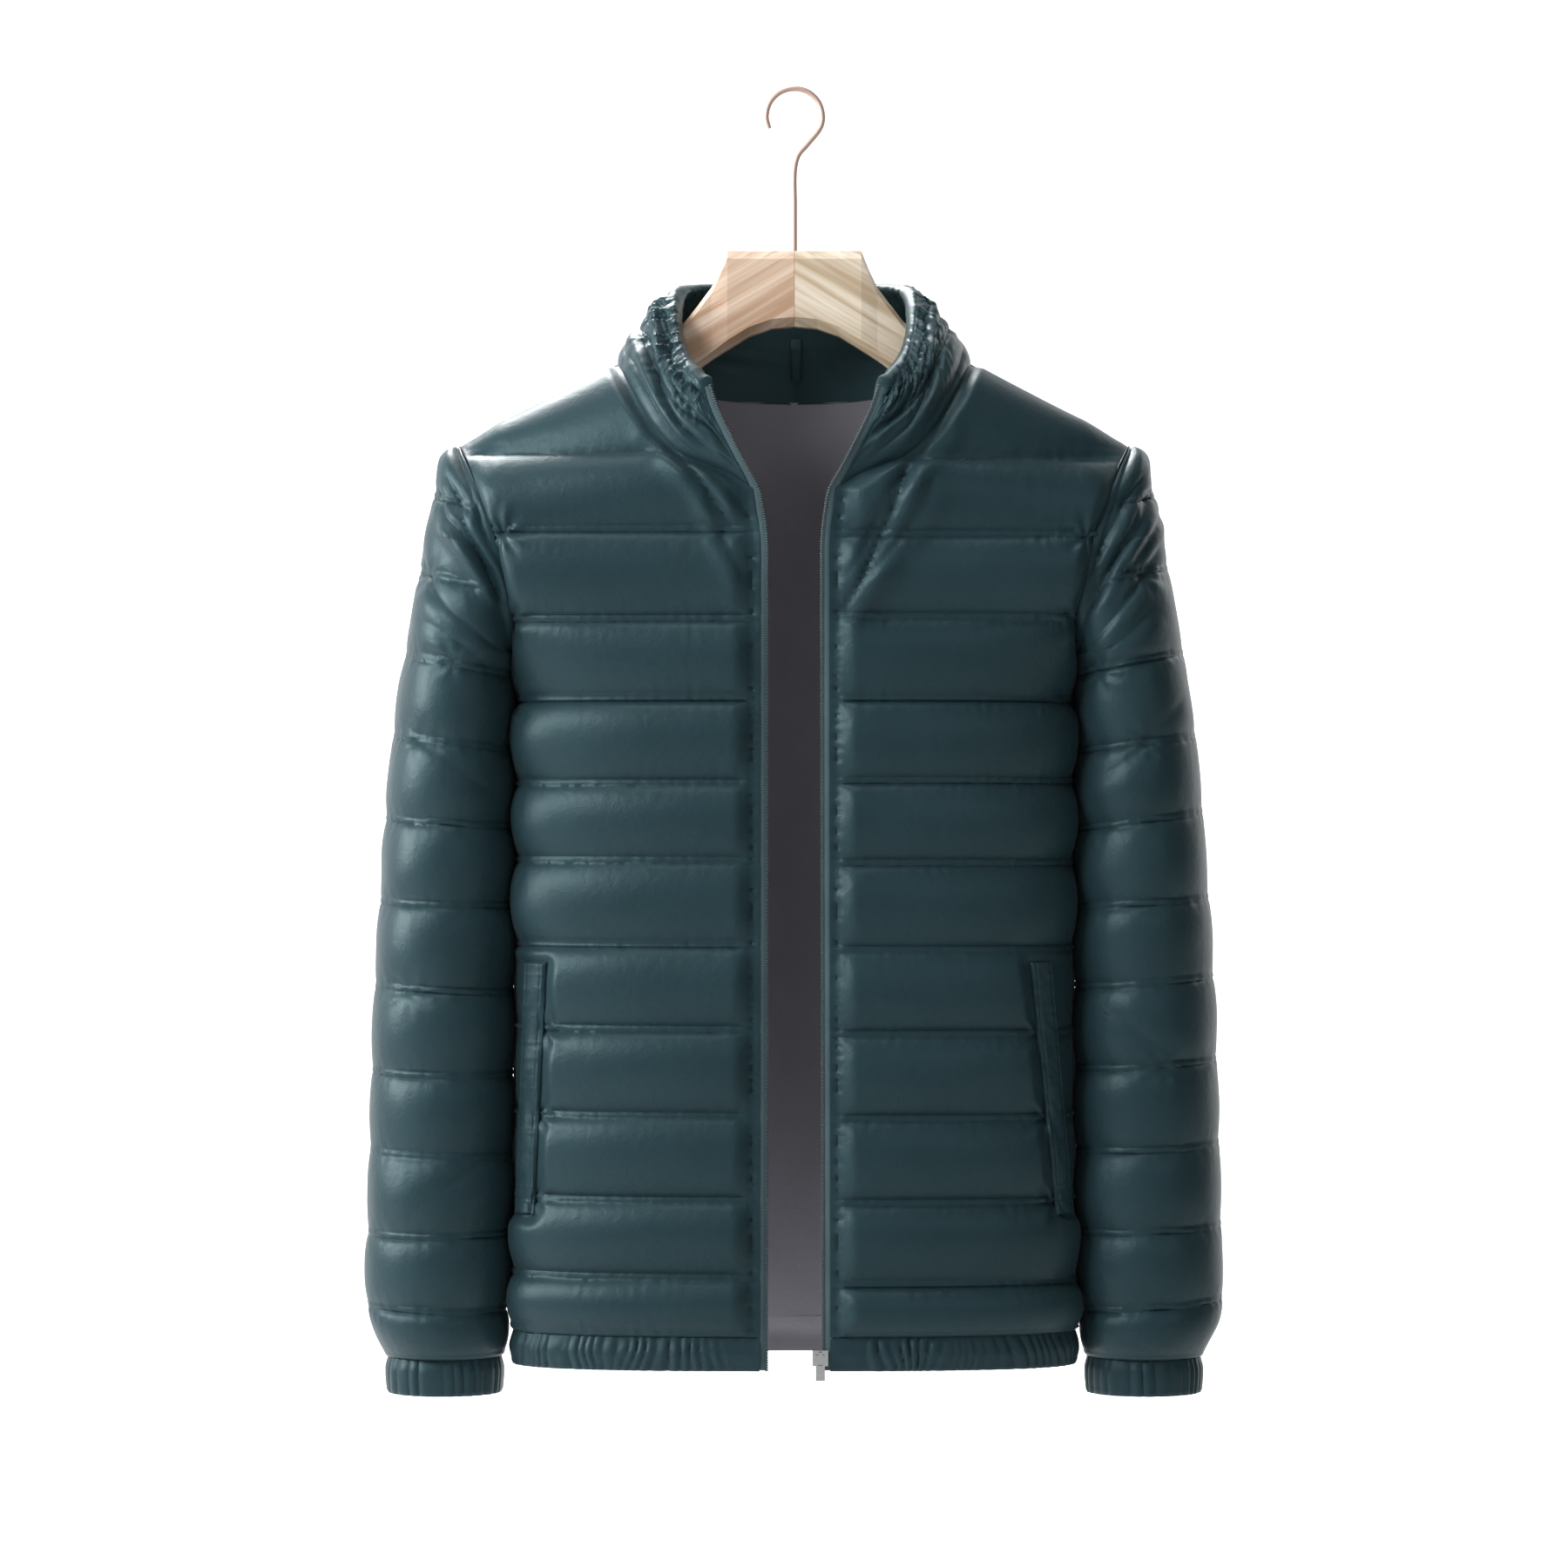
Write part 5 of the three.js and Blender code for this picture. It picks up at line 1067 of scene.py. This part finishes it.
def welt_piece(side, name):
    """Builds one welt on the front's own surface, smoothed so that it spans the stitch
    lines, with rounded edges, a stitch groove near each and slanted wrinkles between."""
    rows, columns = 260, 26
    top_in, top_out, low_in, low_out = WELTS[side]
    down = np.linspace(0, 1, rows)[:, None]
    z = mix(WELT_TOP, WELT_BOTTOM, down)
    across = np.linspace(0, 1, columns)[None, :]
    edge_x = through(BODY_SIZE[:, 0], BODY_SIZE[:, 1], z)
    x = mix(mix(top_in, low_in, down), mix(top_out, low_out, down), across) * edge_x
    front = front_outer[side] * (side, 1, 1)
    level = front[:, 90, 2]
    row = np.interp(-z[:, 0], -level, np.arange(len(level)))
    low_row = np.floor(row).astype(int)
    share = (row - low_row)[:, None]
    y_low = np.stack([np.interp(x[i], front[k, :, 0], front[k, :, 1]) for i, k in enumerate(low_row)])
    y_high = np.stack([np.interp(x[i], front[k + 1, :, 0], front[k + 1, :, 1]) for i, k in enumerate(low_row)])
    y = smooth_along(mix(y_low, y_high, share), 9)
    grid = np.stack([x, y, z + 0 * x], axis=-1)
    normals = grid_normals(grid, 1)
    width = 15.0
    from_edge = np.minimum(across, 1 - across) * width
    from_end = np.minimum(down, 1 - down) * (WELT_TOP - WELT_BOTTOM)
    rounded = 1 - 0.75 * (1 - ease(0, 1.6, np.minimum(from_edge, from_end)))
    groove = 0.7 * np.exp(-((from_edge - 2.6) / 0.7)**2)
    slant = soft_noise((z + 0.8 * across * width) / 7.0, across * 1.5, 91 + side)
    wrinkle = 0.45 * slant * ease(0, 5, from_edge) + 0.35 * gather(z, np.abs(from_edge - 2.6), 4, 4.0, 93)
    lift = WELT_LIFT + WELT_THICK * rounded - groove + wrinkle
    outer = grid + normals * lift[..., None]
    picked = np.round(np.linspace(0, rows - 1, 60)).astype(int)
    inner = grid[picked] + normals[picked] * (WELT_LIFT * 0.3)
    outer[..., 0] *= side
    inner[..., 0] *= side
    piece = wall_piece(name, outer, inner, side, shell_cloth, shell_cloth)
    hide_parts(name)
    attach(piece, "jacket")


welt_piece(-1, "welt_left")
welt_piece(1, "welt_right")

# ---------------------------------------------------------------------------
# Hanging loop
# A short tape loop sewn at both ends inside the back of the collar, bowed between them.

LOOP_X, LOOP_HALF, LOOP_TOP, LOOP_BOTTOM, LOOP_BOW = 1.5, 3.8, -171.0, -201.0, 3.0


def loop_piece():
    """Builds the loop: a thin rounded section that follows the collar's inner face."""
    z = np.linspace(LOOP_TOP, LOOP_BOTTOM, 60)
    y = np.interp(z, collar_lining[:, 2], collar_lining[:, 1])
    bow = LOOP_BOW * np.sin(pi * np.linspace(0, 1, len(z)))
    path = np.stack([np.full(len(z), LOOP_X), smooth_along(y[:, None], 4)[:, 0] - 0.9 - bow, z], axis=1)
    turn = np.linspace(0, 2 * pi, 16, endpoint=False)
    section = np.stack([LOOP_HALF * np.sign(np.cos(turn)) * np.abs(np.cos(turn))**0.5, 0.7 * np.sin(turn)], axis=1)
    points, faces = swept(path, np.tile((1.0, 0, 0), (len(z), 1)), np.tile((0, 1.0, 0), (len(z), 1)), section)
    piece = make_piece("hang_loop", points, [face[::-1] for face in faces], [band_cloth])
    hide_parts("hang_loop")
    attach(piece, "jacket")


loop_piece()

# ---------------------------------------------------------------------------
# Zip slider and pull
# Plated metal, as in the CAD model: the slider on the right-hand tape, at the bottom, and
# the tab that swings in its bridge.

# Bright nickel plate, lightly handled: small sharp highlights at the bottom of the zip
nickel = plain_material("nickel_plate_bright", "#d9dbdc", 0.20, 1.0, 0.06, 400.0)
for node_name in ("zip_slider", "zip_pull"):
    for material_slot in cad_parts[node_name].material_slots:
        material_slot.material = nickel

# ---------------------------------------------------------------------------
# Hanger and hook
# A flat hanger of pale wood, its two arms joined at the middle so that the grain meets in an
# inverted V, and a plain wire hook that turns down into it.

GRAIN_SLOPE = 0.58


def wood_material():
    """Pale open-grained wood in matt lacquer. Rings run along lines of z + slope |x|, which
    meet in an inverted V at the joint, and the right arm is a yellower board."""
    material, tree, output = new_material("ash_wood_matt_lacquer")
    place = add_node(tree, "ShaderNodeSeparateXYZ", [(0, add_node(tree, "ShaderNodeTexCoord").outputs["Object"])])

    def math(operation, first, second):
        """One arithmetic node on sockets or plain numbers."""
        node = add_node(tree, "ShaderNodeMath", operation=operation)
        for socket, value in zip(node.inputs, (first, second)):
            if isinstance(value, (int, float)):
                socket.default_value = value
            else:
                tree.links.new(value, socket)
        return node.outputs[0]

    x, y, z = (place.outputs[k] for k in range(3))
    distance = math("ABSOLUTE", x, 0)
    right = math("GREATER_THAN", x, 0)
    over = math("ADD", math("ADD", z, math("MULTIPLY", distance, GRAIN_SLOPE)), math("MULTIPLY", right, 0.37))
    along = math("SUBTRACT", distance, math("MULTIPLY", z, GRAIN_SLOPE))

    def streaks(fine, length, detail, distortion):
        """Noise stretched along the grain: fine and length are repeats a metre."""
        vector = add_node(tree, "ShaderNodeCombineXYZ", [
            (0, math("MULTIPLY", along, length)), (1, math("MULTIPLY", y, fine * 0.4)), (2, math("MULTIPLY", over, fine))])
        return add_node(tree, "ShaderNodeTexNoise", [("Vector", vector.outputs[0])], in_Scale=1.0,
                        in_Detail=detail, in_Distortion=distortion).outputs["Fac"]

    bands, lines, pores = streaks(95, 4, 2.0, 0.5), streaks(420, 9, 3.0, 0.2), streaks(1500, 45, 2.0, 0.0)

    def blend(kind, factor, first, second):
        """One colour mix node."""
        node = add_node(tree, "ShaderNodeMix", data_type="RGBA", blend_type=kind)
        for name, value in (("Factor", factor), ("A", first), ("B", second)):
            if isinstance(value, tuple) or isinstance(value, float):
                node.inputs[name].default_value = value
            else:
                tree.links.new(value, node.inputs[name])
        return node.outputs["Result"]

    light = blend("MIX", right, to_linear("#c8b3a0"), to_linear("#d6ccbb"))
    dark = blend("MIX", right, to_linear("#a28369"), to_linear("#a6937a"))
    wide = add_node(tree, "ShaderNodeMapRange", [("Value", bands)], in_From_Min=0.35, in_From_Max=0.65).outputs["Result"]
    narrow = add_node(tree, "ShaderNodeMapRange", [("Value", lines)], in_From_Min=0.52, in_From_Max=0.72,
                      in_To_Max=0.75).outputs["Result"]
    colour = blend("MIX", narrow, blend("MIX", wide, light, dark), blend("MIX", right, to_linear("#a27a56"), to_linear("#a48a64")))
    joint = math("LESS_THAN", distance, 0.00035)
    colour = blend("MIX", math("MULTIPLY", joint, 0.5), colour, to_linear("#7d5c40"))
    height = math("ADD", math("MULTIPLY", pores, 0.6), math("MULTIPLY", lines, 0.5))
    bump = add_node(tree, "ShaderNodeBump", [("Height", height)], in_Strength=0.35, in_Distance=0.0003)
    gloss = add_node(tree, "ShaderNodeMapRange", [("Value", lines)], in_To_Min=0.48, in_To_Max=0.62)
    surface = add_node(tree, "ShaderNodeBsdfPrincipled", [
        ("Base Color", colour), ("Roughness", gloss.outputs["Result"]), ("Normal", bump.outputs["Normal"])])
    tree.links.new(surface.outputs["BSDF"], output.inputs["Surface"])
    return material


wood = wood_material()
for material_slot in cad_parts["hanger"].material_slots:
    material_slot.material = wood

# Rose-tinted plated wire: bright, with one long highlight down the shank
hook_metal = plain_material("rose_plated_wire", "#b9a195", 0.50, 0.7, 0.05, 300.0)
HOOK_RADIUS, WIRE_HALF, SHANK_BOTTOM = 20.0, 2.0, -126.0


def hook_piece():
    """Builds the hook: a round section along an arc, then an S bend into a straight shank."""
    turn = np.radians([205, 180, 150, 120, 90, 60, 30, 0, -25])
    arc = np.stack([HOOK_RADIUS * np.cos(turn), WIRE_HALF - HOOK_RADIUS + HOOK_RADIUS * np.sin(turn)], axis=1)
    knots = np.concatenate([arc, [(9, -38), (2.5, -46), (0, -57), (0, -80), (0, SHANK_BOTTOM)]])
    way = np.concatenate([[0], np.cumsum(np.linalg.norm(np.diff(knots, axis=0), axis=1))])
    at = np.linspace(0, way[-1], 150)
    path = np.stack([through(way, knots[:, 0], at), 0 * at, through(way, knots[:, 1], at)], axis=1)
    ahead = np.gradient(path, axis=0)
    ahead /= np.linalg.norm(ahead, axis=1, keepdims=True)
    deep = np.tile((0, 1.0, 0), (len(at), 1))
    wide = np.cross(deep, ahead)
    ring = np.linspace(0, 2 * pi, 24, endpoint=False)
    section = WIRE_HALF * np.stack([np.cos(ring), np.sin(ring)], axis=1)
    points, faces = swept(path, wide, deep, section)
    piece = make_piece("hook", points, faces, [hook_metal])
    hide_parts("hook")
    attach(piece, "jacket")


hook_piece()

# ---------------------------------------------------------------------------
# Studio
# A pale floor that curves up into a backdrop, soft boxes over the left shoulder and to
# the right, and a camera level with the middle of the jacket, as in a catalogue picture.

FLOOR_Z = -1.32
BACKDROP_Y, SWEEP_RADIUS, STAGE_HALF, STAGE_TOP = 6.5, 1.2, 12.0, 9.0
PIXEL_MM = 0.61
FRAME_PIXELS = 1800
CAMERA_DISTANCE = 3.4
FRONT_PLANE_Y = -0.05
SENSOR_MM = 36.0
GLOW_FROM = 1.0


def sweep_profile():
    """Floor line, quarter circle and upright backdrop, as points in y and z."""
    turn = np.linspace(-pi / 2, 0, 24)
    arc = np.stack([BACKDROP_Y - SWEEP_RADIUS + SWEEP_RADIUS * np.cos(turn),
                    FLOOR_Z + SWEEP_RADIUS + SWEEP_RADIUS * np.sin(turn)], axis=1)
    return np.concatenate([[(-6.0, FLOOR_Z)], arc, [(BACKDROP_Y, STAGE_TOP)]])


def backdrop_material():
    """Matt white seamless paper. It glows from GLOW_FROM metres behind the jacket on, so
    that it reads as pure white there and throws no light up from the floor."""
    material, tree, output = new_material("seamless_paper_white")
    grain = add_node(tree, "ShaderNodeTexNoise", in_Scale=300.0)
    bump = add_node(tree, "ShaderNodeBump", [("Height", grain.outputs["Fac"])], in_Strength=0.02)
    place = add_node(tree, "ShaderNodeSeparateXYZ", [(0, add_node(tree, "ShaderNodeTexCoord").outputs["Object"])])
    glow = add_node(tree, "ShaderNodeMapRange", [("Value", place.outputs["Y"])],
                    in_From_Min=GLOW_FROM, in_From_Max=GLOW_FROM + 0.6)
    surface = add_node(tree, "ShaderNodeBsdfPrincipled", [
        ("Normal", bump.outputs["Normal"]), ("Emission Strength", glow.outputs["Result"])])
    surface.inputs["Base Color"].default_value = to_linear("#d9d9d9")
    surface.inputs["Roughness"].default_value = 0.9
    surface.inputs["Emission Color"].default_value = (1, 1, 1, 1)
    tree.links.new(surface.outputs["BSDF"], output.inputs["Surface"])
    return material


profile = sweep_profile()
sweep_points = np.array([(x, y, z) for x in (-STAGE_HALF, STAGE_HALF) for y, z in profile]) * 1000
backdrop = make_piece("backdrop", sweep_points, quads(2, len(profile)), [backdrop_material()])


def soft_box(name, place, target, size, power, colour="#ffffff"):
    """A square area light at place, turned to face target."""
    data = bpy.data.lights.new(name, "AREA")
    data.size = size
    data.energy = power
    data.color = to_linear(colour)[:3]
    light = bpy.data.objects.new(name, data)
    light.location = place
    direction = Vector(target) - Vector(place)
    light.rotation_euler = direction.to_track_quat("-Z", "Y").to_euler()
    scene.collection.objects.link(light)


CHEST = (0.0, -0.05, -0.5)
soft_box("key_left", (-1.5, -1.25, 0.5), CHEST, 0.9, 45)
soft_box("fill_right", (1.2, -2.8, 0.3), CHEST, 1.6, 10)
soft_box("top", (-0.3, -0.5, 1.6), CHEST, 1.0, 20)
soft_box("hair", (-0.5, 1.1, 1.1), CHEST, 0.8, 60)
soft_box("rim_left", (-1.9, -0.25, -0.1), CHEST, 0.9, 54)
soft_box("rim_right", (1.6, 1.4, 0.6), CHEST, 0.9, 4)

world = bpy.data.worlds.new("studio_air")
world.use_nodes = True
world.node_tree.nodes["Background"].inputs["Color"].default_value = (1, 1, 1, 1)
world.node_tree.nodes["Background"].inputs["Strength"].default_value = 0.17
scene.world = world
scene.view_settings.view_transform = "Standard"

camera_data = bpy.data.cameras.new("camera")
camera_data.sensor_width = SENSOR_MM
camera_data.lens = SENSOR_MM * CAMERA_DISTANCE / (FRAME_PIXELS * PIXEL_MM / 1000)
camera = bpy.data.objects.new("camera", camera_data)
centre_x = (FRAME_PIXELS / 2 - 912) * PIXEL_MM / 1000
centre_z = -0.114 - (FRAME_PIXELS / 2 - 280) * PIXEL_MM / 1000
camera.location = (centre_x, FRONT_PLANE_Y - CAMERA_DISTANCE, centre_z)
camera.rotation_euler = (pi / 2, 0, 0)
scene.collection.objects.link(camera)
scene.camera = camera
